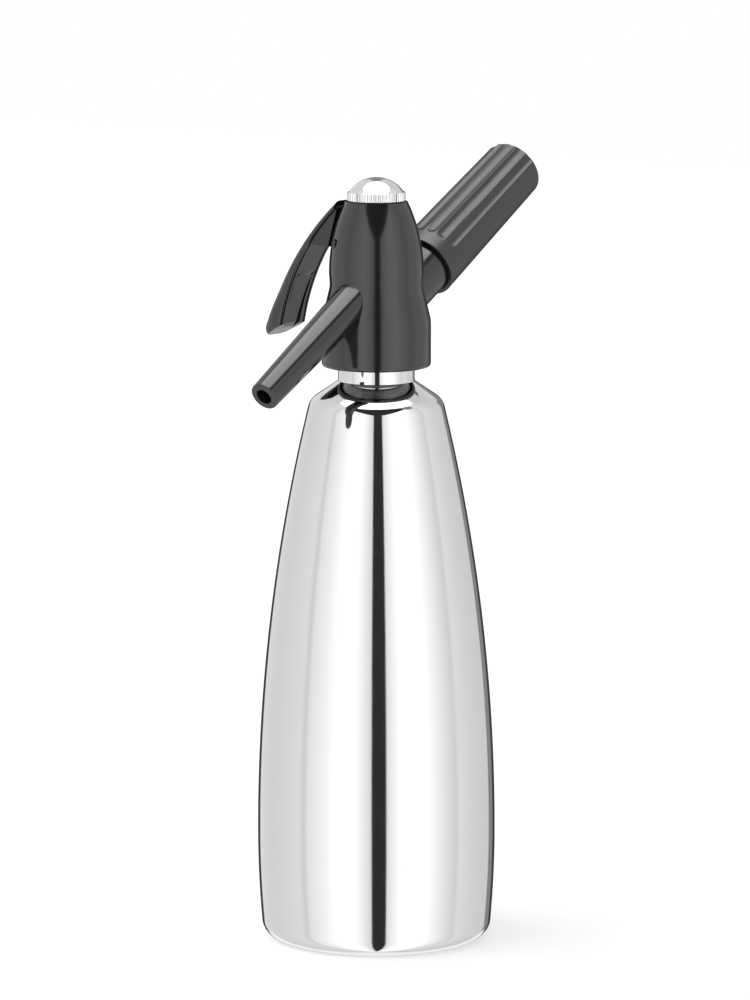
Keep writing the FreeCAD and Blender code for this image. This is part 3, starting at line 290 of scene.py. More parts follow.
def arc_between(start, end, radius):
    """Points after start, up to end, on the short arc; it bulges to the right if the radius is negative."""
    chord = end - start
    half = chord.length / 2
    reach = math.sqrt(max(radius * radius - half * half, 0.0))
    side = Vector((-chord.y, chord.x)).normalized() * math.copysign(reach, -radius)
    centre = (start + end) / 2 + side
    sweep = 2 * math.asin(min(half / abs(radius), 1.0)) * math.copysign(1.0, -radius)
    count = max(2, math.ceil(max(abs(sweep) / ARC_STEP, min(chord.length / FINE_ARC_STEP, MOST_ARC_STEPS))))
    spoke = start - centre
    return [centre + Matrix.Rotation(sweep * step / count, 2) @ spoke for step in range(1, count + 1)]


def rounded_corner(before, corner, after, rounding):
    """Points of the arc that rounds one corner."""
    back = (before - corner).normalized()
    ahead = (after - corner).normalized()
    inside = back.angle(ahead)
    reach = rounding / math.tan(inside / 2)
    start = corner + back * reach
    end = corner + ahead * reach
    turn = back.x * ahead.y - back.y * ahead.x
    centre = corner + (back + ahead).normalized() * rounding / math.sin(inside / 2)
    sweep = math.copysign(math.pi - inside, turn)
    count = max(3, math.ceil(abs(sweep) / ARC_STEP))
    spoke = start - centre
    points = [centre + Matrix.Rotation(-sweep * step / count, 2) @ spoke for step in range(count + 1)]
    return points, reach


def outline(corners, longest=0.0015):
    """Points along a run of corners, with no straight stretch longer than the longest."""
    spots = []
    roundings = []
    for corner, following in zip(corners, list(corners[1:]) + [None]):
        spots.append(Vector((corner.across, corner.up)))
        roundings.append(corner.rounding)
        if corner.curve:
            arc = arc_between(spots[-1], Vector((following.across, following.up)), corner.curve)
            spots += arc[:-1]
            roundings += [0.0] * (len(arc) - 1)
    points = []
    clear_until = 0.0
    for index, (spot, rounding) in enumerate(zip(spots, roundings)):
        if rounding:
            arc, reach = rounded_corner(spots[index - 1], spot, spots[index + 1], rounding)
            while points and (points[-1] - spot).length < reach:
                points.pop()
            points += arc
            clear_until = reach
            last_round = spot
        elif not clear_until or (spot - last_round).length > clear_until:
            points.append(spot)
            clear_until = 0.0
    divided = [points[0]]
    for point in points[1:]:
        start = divided[-1]
        pieces = max(1, math.ceil((point - start).length / longest))
        divided += [start.lerp(point, piece / pieces) for piece in range(1, pieces + 1)]
    return divided


def spun(points, steps, closed=False):
    """A bmesh that the outline sweeps in a full turn about Z."""
    mesh = bmesh.new()
    verts = [mesh.verts.new((point.x, 0, point.y)) for point in points]
    pairs = list(zip(verts, verts[1:]))
    if closed:
        pairs.append((verts[-1], verts[0]))
    edges = [mesh.edges.new(pair) for pair in pairs]
    bmesh.ops.spin(mesh, geom=verts + edges, cent=(0, 0, 0), axis=(0, 0, 1), dvec=(0, 0, 0),
                   angle=FULL_TURN, steps=steps, use_merge=True, use_normal_flip=False, use_duplicate=False)
    bmesh.ops.remove_doubles(mesh, verts=mesh.verts, dist=MERGED)
    bmesh.ops.dissolve_degenerate(mesh, edges=mesh.edges, dist=DEGENERATE)
    bmesh.ops.recalc_face_normals(mesh, faces=mesh.faces)
    return mesh


def along(slope, height):
    """The transform from a branch's own frame, whose +Z runs outward, to the siphon's.

    The slope is measured from +Y up, so that a branch toward -Y has a slope beyond half a turn.
    """
    return Matrix.Translation((0, 0, height)) @ Matrix.Rotation(slope - math.pi / 2, 4, "X")


def add_piece(name, mesh, material, body, replaced=(), place=Matrix.Identity(4), sharp=35.0):
    """Turns a bmesh into a finished, smooth-shaded piece that rides on a body."""
    mesh.transform(place)
    data = bpy.data.meshes.new(name)
    mesh.to_mesh(data)
    mesh.free()
    data.shade_smooth()
    data.set_sharp_from_angle(angle=math.radians(sharp))
    piece = bpy.data.objects.new(name, data)
    bpy.context.scene.collection.objects.link(piece)
    data.materials.append(material)
    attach(piece, body)
    if replaced:
        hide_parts(*replaced)
    return piece


# Materials

def add_node(tree, kind, inputs=(), **settings):
    """Adds a node, sets its properties and fills its inputs with constants or links."""
    node = tree.nodes.new(kind)
    for name, value in settings.items():
        setattr(node, name, value)
    for name, value in dict(inputs).items():
        if isinstance(value, bpy.types.NodeSocket):
            tree.links.new(value, node.inputs[name])
        else:
            node.inputs[name].default_value = value
    return node


def new_material(name):
    """An empty material with its tree and its object coordinates."""
    material = bpy.data.materials.new(name)
    material.use_nodes = True
    tree = material.node_tree
    tree.nodes.clear()
    place = add_node(tree, "ShaderNodeTexCoord").outputs["Object"]
    return material, tree, place


def finish_material(tree, **sockets):
    """Adds the shader, with its sockets named in lower case, and the output."""
    names = {name.replace("_", " ").lower(): value for name, value in sockets.items()}
    shader = add_node(tree, "ShaderNodeBsdfPrincipled")
    for socket in shader.inputs:
        value = names.get(socket.name.lower())
        if value is None:
            continue
        if isinstance(value, bpy.types.NodeSocket):
            tree.links.new(value, socket)
        else:
            socket.default_value = value
    add_node(tree, "ShaderNodeOutputMaterial", {"Surface": shader.outputs["BSDF"]})


def rgba(colour_value):
    """A linear colour with full alpha."""
    return (*colour_value[:3], 1.0)


def two_tone(tree, factor, base, share):
    """A colour that the factor takes from the base to a lighter or darker share of it."""
    return add_node(tree, "ShaderNodeMix", {
        "Factor": factor,
        "A": rgba(base),
        "B": rgba([value * share for value in base]),
    }, data_type="RGBA").outputs["Result"]


def varied(tree, source, low, high):
    """A factor spread from low to high."""
    spread = {"Value": source, "To Min": low, "To Max": high}
    return add_node(tree, "ShaderNodeMapRange", spread).outputs["Result"]


def noise(tree, place, grain, detail=2.0, stretch=(1.0, 1.0, 1.0)):
    """Noise whose features are about one grain wide, in metres, drawn out along the axes by stretch."""
    scaled = add_node(tree, "ShaderNodeMapping", {"Vector": place, "Scale": stretch}).outputs["Vector"]
    return add_node(tree, "ShaderNodeTexNoise",
                    {"Vector": scaled, "Scale": 1.0 / grain, "Detail": detail}).outputs["Fac"]


def bump(tree, height, distance, strength=1.0):
    """A bump whose full height is the distance, in metres."""
    return add_node(tree, "ShaderNodeBump",
                    {"Height": height, "Distance": distance, "Strength": strength}).outputs["Normal"]


def polished_steel(colours):
    """Drawn stainless steel, buffed to a mirror: near-black reflections stay crisp, with faint buffing haze."""
    material, tree, place = new_material("stainless_steel_mirror_polished")
    haze = noise(tree, place, grain=14 * MM, detail=3.0)
    # Buffing marks are a few micrometres wide; they're drawn at 0.8 mm round the bottle so that they show.
    buffing = noise(tree, place, grain=0.8 * MM, stretch=(1.0, 1.0, 0.05))
    ripple = noise(tree, place, grain=45 * MM, detail=1.0)
    waves = add_node(tree, "ShaderNodeMath", {0: buffing, 1: ripple}, operation="ADD").outputs["Value"]
    tint = two_tone(tree, varied(tree, haze, low=0.0, high=0.35), colours.steel, share=0.94)
    finish_material(tree, base_color=tint, metallic=1.0, roughness=varied(tree, haze, low=0.035, high=0.075),
                    normal=bump(tree, waves, distance=0.003 * MM, strength=0.6))
    return material


def chrome_plate(colours):
    """Bright nickel-chrome plate on brass: a harder, slightly cooler mirror than the bottle."""
    material, tree, place = new_material("brass_chrome_plated")
    haze = noise(tree, place, grain=4 * MM)
    finish_material(tree, base_color=rgba(colours.chrome), metallic=1.0,
                    roughness=varied(tree, haze, low=0.04, high=0.1),
                    normal=bump(tree, haze, distance=0.002 * MM, strength=0.5))
    return material


def black_plastic(colours, name, smooth, rough):
    """Injection-moulded black ABS: deep black body under a skin with the faint ripple of the mould."""
    material, tree, place = new_material(name)
    skin = noise(tree, place, grain=0.9 * MM, detail=3.0)
    wear = noise(tree, place, grain=9 * MM, detail=4.0)
    # A moulded skin loses its shine at a glancing view, as its fine texture shades itself.
    facing = add_node(tree, "ShaderNodeLayerWeight", {"Blend": 0.5}).outputs["Facing"]
    shine = add_node(tree, "ShaderNodeMapRange", {"Value": facing, "From Min": 0.35, "From Max": 0.8,
                                                  "To Min": 0.5, "To Max": 0.08}).outputs["Result"]
    finish_material(tree, base_color=two_tone(tree, wear, colours.plastic, share=1.35), metallic=0.0, ior=1.54,
                    specular_ior_level=shine, roughness=varied(tree, wear, smooth, rough),
                    normal=bump(tree, skin, distance=0.004 * MM, strength=0.5))
    return material


def turned_metal(name, hexadecimal, roughness, grain):
    """Lathe-turned metal: fine rings round the axis break up its shine."""
    material, tree, place = new_material(name)
    rings = noise(tree, place, grain, stretch=(0.1, 0.1, 1.0))
    cloud = noise(tree, place, grain=6 * MM)
    finish_material(tree, base_color=two_tone(tree, cloud, linear(hexadecimal), share=0.85), metallic=1.0,
                    roughness=varied(tree, cloud, low=roughness * 0.8, high=roughness * 1.3),
                    normal=bump(tree, rings, distance=0.01 * MM))
    return material


def rubber(name, hexadecimal):
    """Moulded nitrile rubber: a dull skin with a fine bloom."""
    material, tree, place = new_material(name)
    bloom = noise(tree, place, grain=1.2 * MM, detail=4.0)
    finish_material(tree, base_color=two_tone(tree, bloom, linear(hexadecimal), share=1.8), ior=1.5,
                    roughness=varied(tree, bloom, low=0.55, high=0.75),
                    normal=bump(tree, bloom, distance=0.02 * MM))
    return material


def clear_tube():
    """Extruded natural polyethylene: milky, half see-through, with faint lines along its length."""
    material, tree, place = new_material("polyethylene_natural")
    lines = noise(tree, place, grain=0.6 * MM, stretch=(1.0, 1.0, 0.02))
    finish_material(tree, base_color=rgba(linear("#e9ecec")), ior=1.51, transmission_weight=0.75,
                    roughness=varied(tree, lines, low=0.25, high=0.4),
                    normal=bump(tree, lines, distance=0.01 * MM))
    return material


MATERIALS = {}


def make_materials(colours):
    """Makes every finish once, under the record's slot names."""
    MATERIALS["polished_steel"] = polished_steel(colours)
    MATERIALS["plated_steel"] = chrome_plate(colours)
    MATERIALS["black_plastic"] = black_plastic(colours, "abs_black_moulded", smooth=0.1, rough=0.19)
    MATERIALS["grip_plastic"] = black_plastic(colours, "abs_black_satin", smooth=0.34, rough=0.42)
    MATERIALS["core_metal"] = turned_metal("zinc_die_cast", "#9b9c9e", 0.32, 0.5 * MM)
    MATERIALS["brass"] = turned_metal("brass_turned", "#c9a25a", 0.24, 0.3 * MM)
    MATERIALS["steel"] = turned_metal("stainless_steel_turned", "#b9babb", 0.2, 0.3 * MM)
    MATERIALS["dark_steel"] = turned_metal("steel_black_oxide", "#202123", 0.42, 0.3 * MM)
    MATERIALS["charger_steel"] = turned_metal("steel_zinc_plated", "#aeb1b5", 0.3, 0.6 * MM)
    MATERIALS["rubber"] = rubber("nitrile_rubber_black", "#161616")
    MATERIALS["clear_tube"] = clear_tube()


# Pieces

class PieceOperator(bpy.types.Operator):
    """Base of the operators that make a piece."""
    bl_options = {"REGISTER", "UNDO"}

    def execute(self, context):
        """Makes the piece from the scene's settings."""
        settings = context.scene.siphon
        if not MATERIALS:
            make_materials(settings.colours)
        self.make(settings)
        return {"FINISHED"}


class SIPHON_OT_bottle(PieceOperator):
    """Adds the polished bottle and the collar round its neck"""
    bl_idname = "siphon.bottle"
    bl_label = "Bottle"

    def make(self, settings):
        sizes = settings.bottle
        outer = self.side(sizes, 0.0)
        inner = self.side(sizes, sizes.wall)
        mesh = spun(outer + inner[::-1], steps=224)
        add_piece("bottle_shell", mesh, MATERIALS["polished_steel"], "bottle", ["bottle"])
        mesh = spun(self.collar(sizes), steps=160, closed=True)
        add_piece("neck_collar", mesh, MATERIALS["polished_steel"], "bottle",
                  ["neck_ferrule"])

    def side(self, sizes, inset):
        """Outline of the bottle from the middle of its foot to its rim, a wall's thickness in or on it."""
        foot = sizes.foot_curve - inset
        side = sizes.side_curve - inset
        shoulder = sizes.shoulder_height - inset
        foot_fall = sizes.widest_height - inset
        foot_radius = sizes.radius - sizes.foot_curve + math.sqrt(foot ** 2 - foot_fall ** 2)
        rise = shoulder - sizes.widest_height
        shoulder_radius = sizes.radius - sizes.side_curve + math.sqrt(side ** 2 - rise ** 2)
        neck = sizes.neck_radius - inset
        neck_root = shoulder + (shoulder_radius - neck) * math.tan(sizes.shoulder_slope)
        dome = (sizes.foot_ring ** 2 + sizes.foot_rise ** 2) / (2 * sizes.foot_rise)
        return outline([
            Corner(0.0, sizes.foot_rise + inset, curve=dome),
            Corner(sizes.foot_ring, inset),
            Corner(foot_radius, inset, rounding=sizes.foot_rounding - inset, curve=-foot),
            Corner(sizes.radius - inset, sizes.widest_height, curve=-side),
            Corner(shoulder_radius, shoulder, rounding=sizes.shoulder_rounding - inset),
            Corner(neck, neck_root, rounding=sizes.neck_rounding + inset),
            Corner(neck, sizes.rim_height),
        ], longest=0.0016 if inset == 0 else 0.004)

    def collar(self, sizes):
        """Outline of the collar: a flared foot, a straight band and the thread's ridges."""
        slope = math.tan(sizes.shoulder_slope)
        rise = sizes.shoulder_height - sizes.widest_height
        shoulder_radius = sizes.radius - sizes.side_curve + math.sqrt(sizes.side_curve ** 2 - rise ** 2)
        neck_root = sizes.shoulder_height + (shoulder_radius - sizes.neck_radius) * slope
        gap = 0.15 * MM
        band_rounding = 0.9 * MM
        thread_relief = 0.8 * MM
        seat = sizes.neck_radius + sizes.neck_rounding
        corners = [
            Corner(sizes.neck_radius, neck_root + sizes.neck_rounding),
            Corner(seat, neck_root + gap - sizes.neck_rounding * slope),
            Corner(sizes.collar_foot, neck_root + gap - (sizes.collar_foot - sizes.neck_radius) * slope),
            Corner(sizes.collar_radius, sizes.collar_straight, rounding=band_rounding),
            Corner(sizes.collar_radius, sizes.thread_start - thread_relief),
            Corner(sizes.thread_root, sizes.thread_start),
        ]
        half = sizes.thread_width / 2
        for ridge in range(sizes.thread_ridges):
            middle = sizes.thread_start + sizes.thread_pitch * (ridge + 0.5)
            corners += [
                Corner(sizes.thread_root, middle - half),
                Corner(sizes.collar_radius, middle - half / 3),
                Corner(sizes.collar_radius, middle + half / 3),
                Corner(sizes.thread_root, middle + half),
            ]
        corners += [
            Corner(sizes.thread_root, sizes.rim_height),
            Corner(sizes.neck_radius, sizes.rim_height),
        ]
        return outline(corners, longest=0.0008)


class SIPHON_OT_cover(PieceOperator):
    """Adds the bell-shaped cover of the head, with its slot for the lever and holes for the pin"""
    bl_idname = "siphon.cover"
    bl_label = "Head cover"

    def make(self, settings):
        sizes = settings.head
        mesh = spun(self.bell(sizes), steps=160)
        self.cut_slot(mesh, sizes)
        for side in (-1, 1):
            self.cut_pin_hole(mesh, sizes, side)
        piece = add_piece("head_cover_shell", mesh, MATERIALS["black_plastic"], "head",
                          ["head_cover"])
        wall = piece.modifiers.new("wall", "SOLIDIFY")
        wall.thickness = sizes.wall
        wall.offset = -1.0
        wall.use_even_offset = True

    def bell(self, sizes):
        """Outline of the cover's outer face, from its lower lip to its mouth."""
        rise = sizes.top - sizes.waist_high
        hip = sizes.top_radius + sizes.bell_curve - math.sqrt(sizes.bell_curve ** 2 - rise ** 2)
        lip = sizes.radius - sizes.lip
        bevel = 0.1 * MM
        return outline([
            Corner(lip, sizes.bottom + bevel),
            Corner(lip + bevel, sizes.bottom),
            Corner(sizes.radius, sizes.bottom, rounding=sizes.bottom_rounding),
            Corner(sizes.radius, sizes.shoulder_height, rounding=sizes.shoulder_blend),
            Corner(sizes.waist_radius, sizes.waist_low, rounding=sizes.waist_blend),
            Corner(hip, sizes.waist_high, curve=-sizes.bell_curve),
            Corner(sizes.top_radius, sizes.top),
            Corner(sizes.mouth_radius, sizes.top),
        ], longest=0.0008)

    def cut_slot(self, mesh, sizes):
        """Opens the slot on the lever's side."""
        planes = [
            ((0, sizes.slot_half, 0), (0, 1, 0)),
            ((0, -sizes.slot_half, 0), (0, 1, 0)),
            ((0, 0, sizes.slot_bottom), (0, 0, 1)),
            ((0, 0, sizes.slot_top), (0, 0, 1)),
        ]
        for spot, normal in planes:
            near = [face for face in mesh.faces if face.calc_center_median().x < 0]
            geom = near + list({edge for face in near for edge in face.edges})
            geom += list({vert for face in near for vert in face.verts})
            bmesh.ops.bisect_plane(mesh, geom=geom, plane_co=spot, plane_no=normal, dist=MERGED)
        inside = []
        for face in mesh.faces:
            middle = face.calc_center_median()
            level = sizes.slot_bottom < middle.z < sizes.slot_top
            if middle.x < 0 and abs(middle.y) < sizes.slot_half and level:
                inside.append(face)
        bmesh.ops.delete(mesh, geom=inside, context="FACES")

    def cut_pin_hole(self, mesh, sizes, side):
        """Opens one round hole for the lever's pin."""
        pin = Vector((-sizes.pin[0], sizes.pin[1]))

        def offset(vert):
            return Vector((vert.co.x, vert.co.z)) - pin

        doomed = [vert for vert in mesh.verts
                  if vert.co.y * side > 0 and offset(vert).length < sizes.pin_hole]
        ring = {other for vert in doomed for edge in vert.link_edges for other in edge.verts} - set(doomed)
        bmesh.ops.delete(mesh, geom=doomed, context="VERTS")
        for vert in ring:
            reach = math.hypot(vert.co.x, vert.co.y)
            place = offset(vert).normalized() * sizes.pin_hole + pin
            vert.co = (place.x, side * math.sqrt(reach ** 2 - place.x ** 2), place.y)


class SIPHON_OT_cap(PieceOperator):
    """Adds the chrome cap with its knurled ring and dome"""
    bl_idname = "siphon.cap"
    bl_label = "Cap"

    def make(self, settings):
        sizes = settings.head
        rise = sizes.cap_top - sizes.ring_top
        dome = (sizes.dome_radius ** 2 + rise ** 2) / (2 * rise)
        edge = 0.35 * MM
        points = outline([
            Corner(0.0, sizes.cap_ceiling),
            Corner(sizes.cap_bore, sizes.cap_ceiling),
            Corner(sizes.cap_bore, sizes.cap_bottom),
            Corner(sizes.cap_skirt, sizes.cap_bottom),
            Corner(sizes.cap_skirt, sizes.ring_bottom),
            Corner(sizes.ring_radius, sizes.ring_bottom, rounding=edge),
            Corner(sizes.ring_radius, sizes.ring_top, rounding=edge),
            Corner(sizes.dome_radius, sizes.ring_top, curve=-dome),
            Corner(0.0, sizes.cap_top),
        ], longest=0.0009)
        steps_per_knurl = 8
        mesh = spun(points, sizes.knurls * steps_per_knurl)
        self.knurl(mesh, sizes)
        add_piece("cap_dome", mesh, MATERIALS["plated_steel"], "cap", ["cap_nut"], sharp=50.0)

    def knurl(self, mesh, sizes):
        """Presses the grooves into the ring's rim."""
        pitch = FULL_TURN / sizes.knurls
        groove_share = 0.3
        margin = 0.1 * MM
        for vert in mesh.verts:
            radius = math.hypot(vert.co.x, vert.co.y)
            if radius < sizes.dome_radius + margin or vert.co.z < sizes.ring_bottom - margin:
                continue
            turn = math.atan2(vert.co.y, vert.co.x) % pitch
            off = min(turn, pitch - turn)
            depth = sizes.knurl_depth * max(0.0, 1 - off / (pitch * groove_share))
            limit = sizes.ring_radius - depth
            if radius > limit:
                vert.co.x *= limit / radius
                vert.co.y *= limit / radius


# The most of the lever's depth and of its half width that the crown's rounding takes
MOST_ROUNDING = (0.75, 0.9)
# The most of its depth that the inner edge's rounding and a channel take
MOST_EDGE = 0.1
MOST_CHANNEL = 0.3
# Where that rounding's middle lies, as a share of the rounding
EDGE_CUT = 0.3
# Depth of the groove round the sunk panel, in panel depths, and its inner corners, in seam widths
PANEL_GROOVE = 1.6
GROOVE_FLOOR = 0.8
GROOVE_END = 0.9


class SIPHON_OT_lever(PieceOperator):
    """Adds the squeeze lever: a curved grip with a panel let into its inner face, a web and a fork"""
    bl_idname = "siphon.lever"
    bl_label = "Squeeze lever"

    def make(self, settings):
        sizes = settings.lever
        mesh = bmesh.new()
        self.grip(mesh, sizes)
        pin = settings.head.pin
        hub_steps = 12
        hub_turns = [math.pi * (0.5 + step / hub_steps) for step in range(hub_steps + 1)]
        hub = [(pin[0] + math.cos(turn) * sizes.hub, pin[1] + math.sin(turn) * sizes.hub) for turn in hub_turns]
        self.slab(mesh, [sizes.web_foot, sizes.web_back, sizes.web_top] + hub, -sizes.web_half, sizes.web_half)
        cheek = [sizes.web_foot, sizes.web_back, sizes.cheek_back, sizes.cheek_top, sizes.cheek_foot]
        self.slab(mesh, cheek, -sizes.cheek_half, sizes.cheek_half)
        fork = [
            (-sizes.fork_reach, sizes.fork_bottom),
            (pin[0], sizes.fork_bottom),
            (pin[0], sizes.fork_top),
            (-sizes.fork_reach, sizes.fork_top),
        ]
        self.slab(mesh, fork, sizes.fork_gap, sizes.web_half)
        self.slab(mesh, fork, -sizes.web_half, -sizes.fork_gap)
        bmesh.ops.recalc_face_normals(mesh, faces=mesh.faces)
        add_piece("lever_grip", mesh, MATERIALS["black_plastic"], "lever", ["squeeze_lever"])

    def grip(self, mesh, sizes):
        """Skins the grip's sections, from its upper end down to its rounded tip."""
        crown_top = Vector(sizes.crown_top)
        crown = [crown_top] + arc_between(crown_top, Vector(sizes.crown_foot), sizes.crown_curve)
        rim_top = Vector(sizes.rim_top)
        rim_foot = Vector(sizes.rim_foot)
        rim = [rim_top] + arc_between(rim_top, rim_foot, sizes.rim_curve)
        # The tip takes up the last eighth of the lever's length and narrows to under half its width.
        body_share = 0.875
        blunt = 0.45
        # Seam and panel run out in the tip's first third.
        runout = 0.35
        stations = 96
        rings = []
        for station in range(stations + 1):
            share = station / stations
            outer = self.point_at(crown, share)
            if share <= body_share:
                inner = self.point_at(rim, share / body_share)
                past = 0.0
            else:
                past = (share - body_share) / (1 - body_share)
                inner = rim_foot.lerp(Vector(sizes.tip), past)
            narrowing = blunt + (1 - blunt) * math.sqrt(1 - past ** 2)
            fade = max(0.0, 1 - past / runout)
            rings.append(self.section(mesh, sizes, outer, inner, share, narrowing, fade))
        for ring, following in zip(rings, rings[1:]):
            for index in range(len(ring)):
                after = (index + 1) % len(ring)
                mesh.faces.new((ring[index], ring[after], following[after], following[index]))
        mesh.faces.new(rings[0])
        mesh.faces.new(rings[-1])

    def point_at(self, points, share):
        """The point at a share of an evenly divided run."""
        spot = share * (len(points) - 1)
        first = min(int(spot), len(points) - 2)
        return points[first].lerp(points[first + 1], spot - first)

    def section(self, mesh, sizes, outer, inner, share, narrowing, fade):
        """One closed section: a rounded crown, two sides and an inner face with a seam and a sunk panel."""
        depth = (inner - outer).length
        width = sizes.half_width * narrowing
        # Near its thin ends the lever's roundings and channels keep to shares of its depth and width.
        rounding = min(sizes.crown_rounding, depth * MOST_ROUNDING[0], width * MOST_ROUNDING[1])
        edge = min(sizes.rim_edge, depth * MOST_EDGE)
        deepest = depth * MOST_CHANNEL
        seam_depth = min(sizes.seam_depth, deepest) * fade
        # The panel sinks only in the lever's lower half.
        sunk = max(0.0, (share - 0.5) * 2)
        panel = min(sizes.panel_depth * sunk, deepest) * fade
        seam = sizes.half_width - sizes.land_top + (sizes.land_top - sizes.land_foot) * share
        ledge = seam - sizes.seam_width - sizes.ledge_top - (sizes.ledge_foot - sizes.ledge_top) * sunk
        half = [(0.0, 0.0)]
        steps = 8
        for step in range(steps + 1):
            turn = math.pi / 2 * step / steps
            half.append((width - rounding + rounding * math.sin(turn), rounding - rounding * math.cos(turn)))
        cut = edge * EDGE_CUT
        half += [(width, depth - edge), (width - cut, depth - cut), (width - edge, depth)]
        slant = 0.08 * MM
        groove = panel * PANEL_GROOVE
        inside = [
            (seam, depth),
            (seam - slant, depth - seam_depth),
            (seam - sizes.seam_width + slant, depth - seam_depth),
            (seam - sizes.seam_width, depth),
            (ledge, depth),
            (ledge - slant, depth - groove),
            (ledge - sizes.seam_width * GROOVE_FLOOR, depth - groove),
            (ledge - sizes.seam_width * GROOVE_END, depth - panel),
            (0.0, depth - panel),
        ]
        half += [(across * narrowing, down) for across, down in inside]
        way = (inner - outer).normalized()
        ring = []
        for across, down in half + [(-across, down) for across, down in half[-2:0:-1]]:
            spot = outer + way * down
            ring.append(mesh.verts.new((-spot.x, across, spot.y)))
        return ring

    def slab(self, mesh, corners, low, high):
        """Adds a flat slab between two distances along Y, from corners given by distance and height."""
        face = mesh.faces.new([mesh.verts.new((-across, low, up)) for across, up in corners])
        far = bmesh.ops.extrude_face_region(mesh, geom=[face], use_keep_orig=True)["geom"]
        raised = [item for item in far if isinstance(item, bmesh.types.BMVert)]
        bmesh.ops.translate(mesh, verts=raised, vec=(0, high - low, 0))


class SIPHON_OT_spout(PieceOperator):
    """Adds the tapered spout"""
    bl_idname = "siphon.spout"
    bl_label = "Spout"

    def make(self, settings):
        sizes = settings.branches
        mouth_rounding = 0.25 * MM
        bore_cone = 1.5 * MM
        points = outline([
            Corner(sizes.passage, sizes.shank_start),
            Corner(sizes.shank_radius, sizes.shank_start),
            Corner(sizes.shank_radius, sizes.spout_root),
            Corner(sizes.root_radius, sizes.spout_root),
            Corner(sizes.tip_radius, sizes.spout_tip, rounding=sizes.tip_rounding),
            Corner(sizes.spout_bore, sizes.spout_tip, rounding=mouth_rounding),
            Corner(sizes.spout_bore, sizes.bore_end),
            Corner(sizes.passage, sizes.bore_end - bore_cone),
            Corner(sizes.passage, sizes.shank_start),
        ], longest=0.0016)
        mesh = spun(points[:-1], steps=112, closed=True)
        add_piece("spout_tube", mesh, MATERIALS["black_plastic"], "head", ["spout"],
                  place=along(math.pi + sizes.spout_slope, sizes.spout_height))


class SIPHON_OT_holder(PieceOperator):
    """Adds the arm that carries the charger and the fluted sleeve that screws on to it"""
    bl_idname = "siphon.holder"
    bl_label = "Charger holder"

    def make(self, settings):
        sizes = settings.branches
        place = along(sizes.holder_slope, sizes.holder_height)
        mesh = spun(self.arm(sizes), steps=144, closed=True)
        add_piece("holder_arm", mesh, MATERIALS["black_plastic"], "head", ["inlet_arm"],
                  place=place)
        mesh = spun(self.sleeve(sizes), steps=360)
        self.flute(mesh, sizes)
        add_piece("fluted_sleeve", mesh, MATERIALS["grip_plastic"], "sleeve",
                  ["charger_sleeve"], place=place)

    def arm(self, sizes):
        """Outline of the arm: a shank, a boss, a smooth band and thread ridges."""
        flank = 0.6 * MM
        crest = 0.4 * MM
        first_ridge = sizes.arm_thread + 2.5 * MM
        corners = [
            Corner(sizes.arm_bore, sizes.arm_start),
            Corner(sizes.arm_shank, sizes.arm_start),
            Corner(sizes.arm_shank, sizes.boss_start),
            Corner(sizes.boss_radius, sizes.boss_start),
            Corner(sizes.boss_radius, sizes.arm_root),
            Corner(sizes.arm_radius, sizes.arm_root),
            Corner(sizes.arm_radius, sizes.arm_thread),
            Corner(sizes.arm_thread_root, sizes.arm_thread + flank),
        ]
        for ridge in range(sizes.arm_ridges):
            start = first_ridge + sizes.arm_pitch * ridge
            corners += [
                Corner(sizes.arm_thread_root, start),
                Corner(sizes.arm_radius, start + flank),
                Corner(sizes.arm_radius, start + flank + crest),
                Corner(sizes.arm_thread_root, start + 2 * flank + crest),
            ]
        corners += [
            Corner(sizes.arm_thread_root, sizes.arm_end),
            Corner(sizes.arm_socket, sizes.arm_end),
            Corner(sizes.arm_socket, sizes.socket_floor),
            Corner(sizes.arm_bore, sizes.socket_floor),
        ]
        return outline(corners, longest=0.0016)

    def sleeve(self, sizes):
        """Outline of the sleeve from its closed end's middle, outside and then inside."""
        outer_edge = 0.5 * MM
        inner_edge = 0.3 * MM
        bore_cone = 1.5 * MM
        return outline([
            Corner(0.0, sizes.sleeve_end),
            Corner(sizes.end_radius, sizes.sleeve_end, rounding=sizes.end_rounding),
            Corner(sizes.rim_radius, sizes.sleeve_rim, rounding=outer_edge),
            Corner(sizes.rim_bore, sizes.sleeve_rim, rounding=inner_edge),
            Corner(sizes.rim_bore, sizes.sleeve_step - bore_cone),
            Corner(sizes.sleeve_bore, sizes.sleeve_step),
            Corner(sizes.sleeve_bore, sizes.sleeve_floor),
            Corner(0.0, sizes.sleeve_floor),
        ], longest=0.0011)

    def flute(self, mesh, sizes):
        """Presses the flutes into the sleeve's outside, each a round-ended channel."""
        outer_skin = 2.5 * MM
        bore_margin = 0.05 * MM
        taper = (sizes.rim_radius - sizes.end_radius) / (sizes.sleeve_end - sizes.sleeve_rim)
        middle = (sizes.flutes - 1) / 2
        turns = [sizes.flute_group + half * math.pi + (index - middle) * sizes.flute_pitch
                 for half in (0, 1) for index in range(sizes.flutes)]
        for vert in mesh.verts:
            radius = math.hypot(vert.co.x, vert.co.y)
            skin = sizes.rim_radius - taper * (vert.co.z - sizes.sleeve_rim)
            if radius < skin - outer_skin or vert.co.z < sizes.flute_start - sizes.flute_radius:
                continue
            if radius < sizes.rim_bore + bore_margin and vert.co.z < sizes.sleeve_floor:
                continue
            turn = math.atan2(vert.co.y, vert.co.x)
            off = min(abs(math.remainder(turn - flute, FULL_TURN)) for flute in turns)
            axis = skin + sizes.flute_radius - sizes.flute_depth
            short = max(0.0, sizes.flute_start - vert.co.z)
            section = sizes.flute_radius ** 2 - short ** 2 - (axis * math.sin(off)) ** 2
            if section <= 0:
                continue
            limit = axis * math.cos(off) - math.sqrt(section)
            if radius > limit:
                vert.co.x *= limit / radius
                vert.co.y *= limit / radius


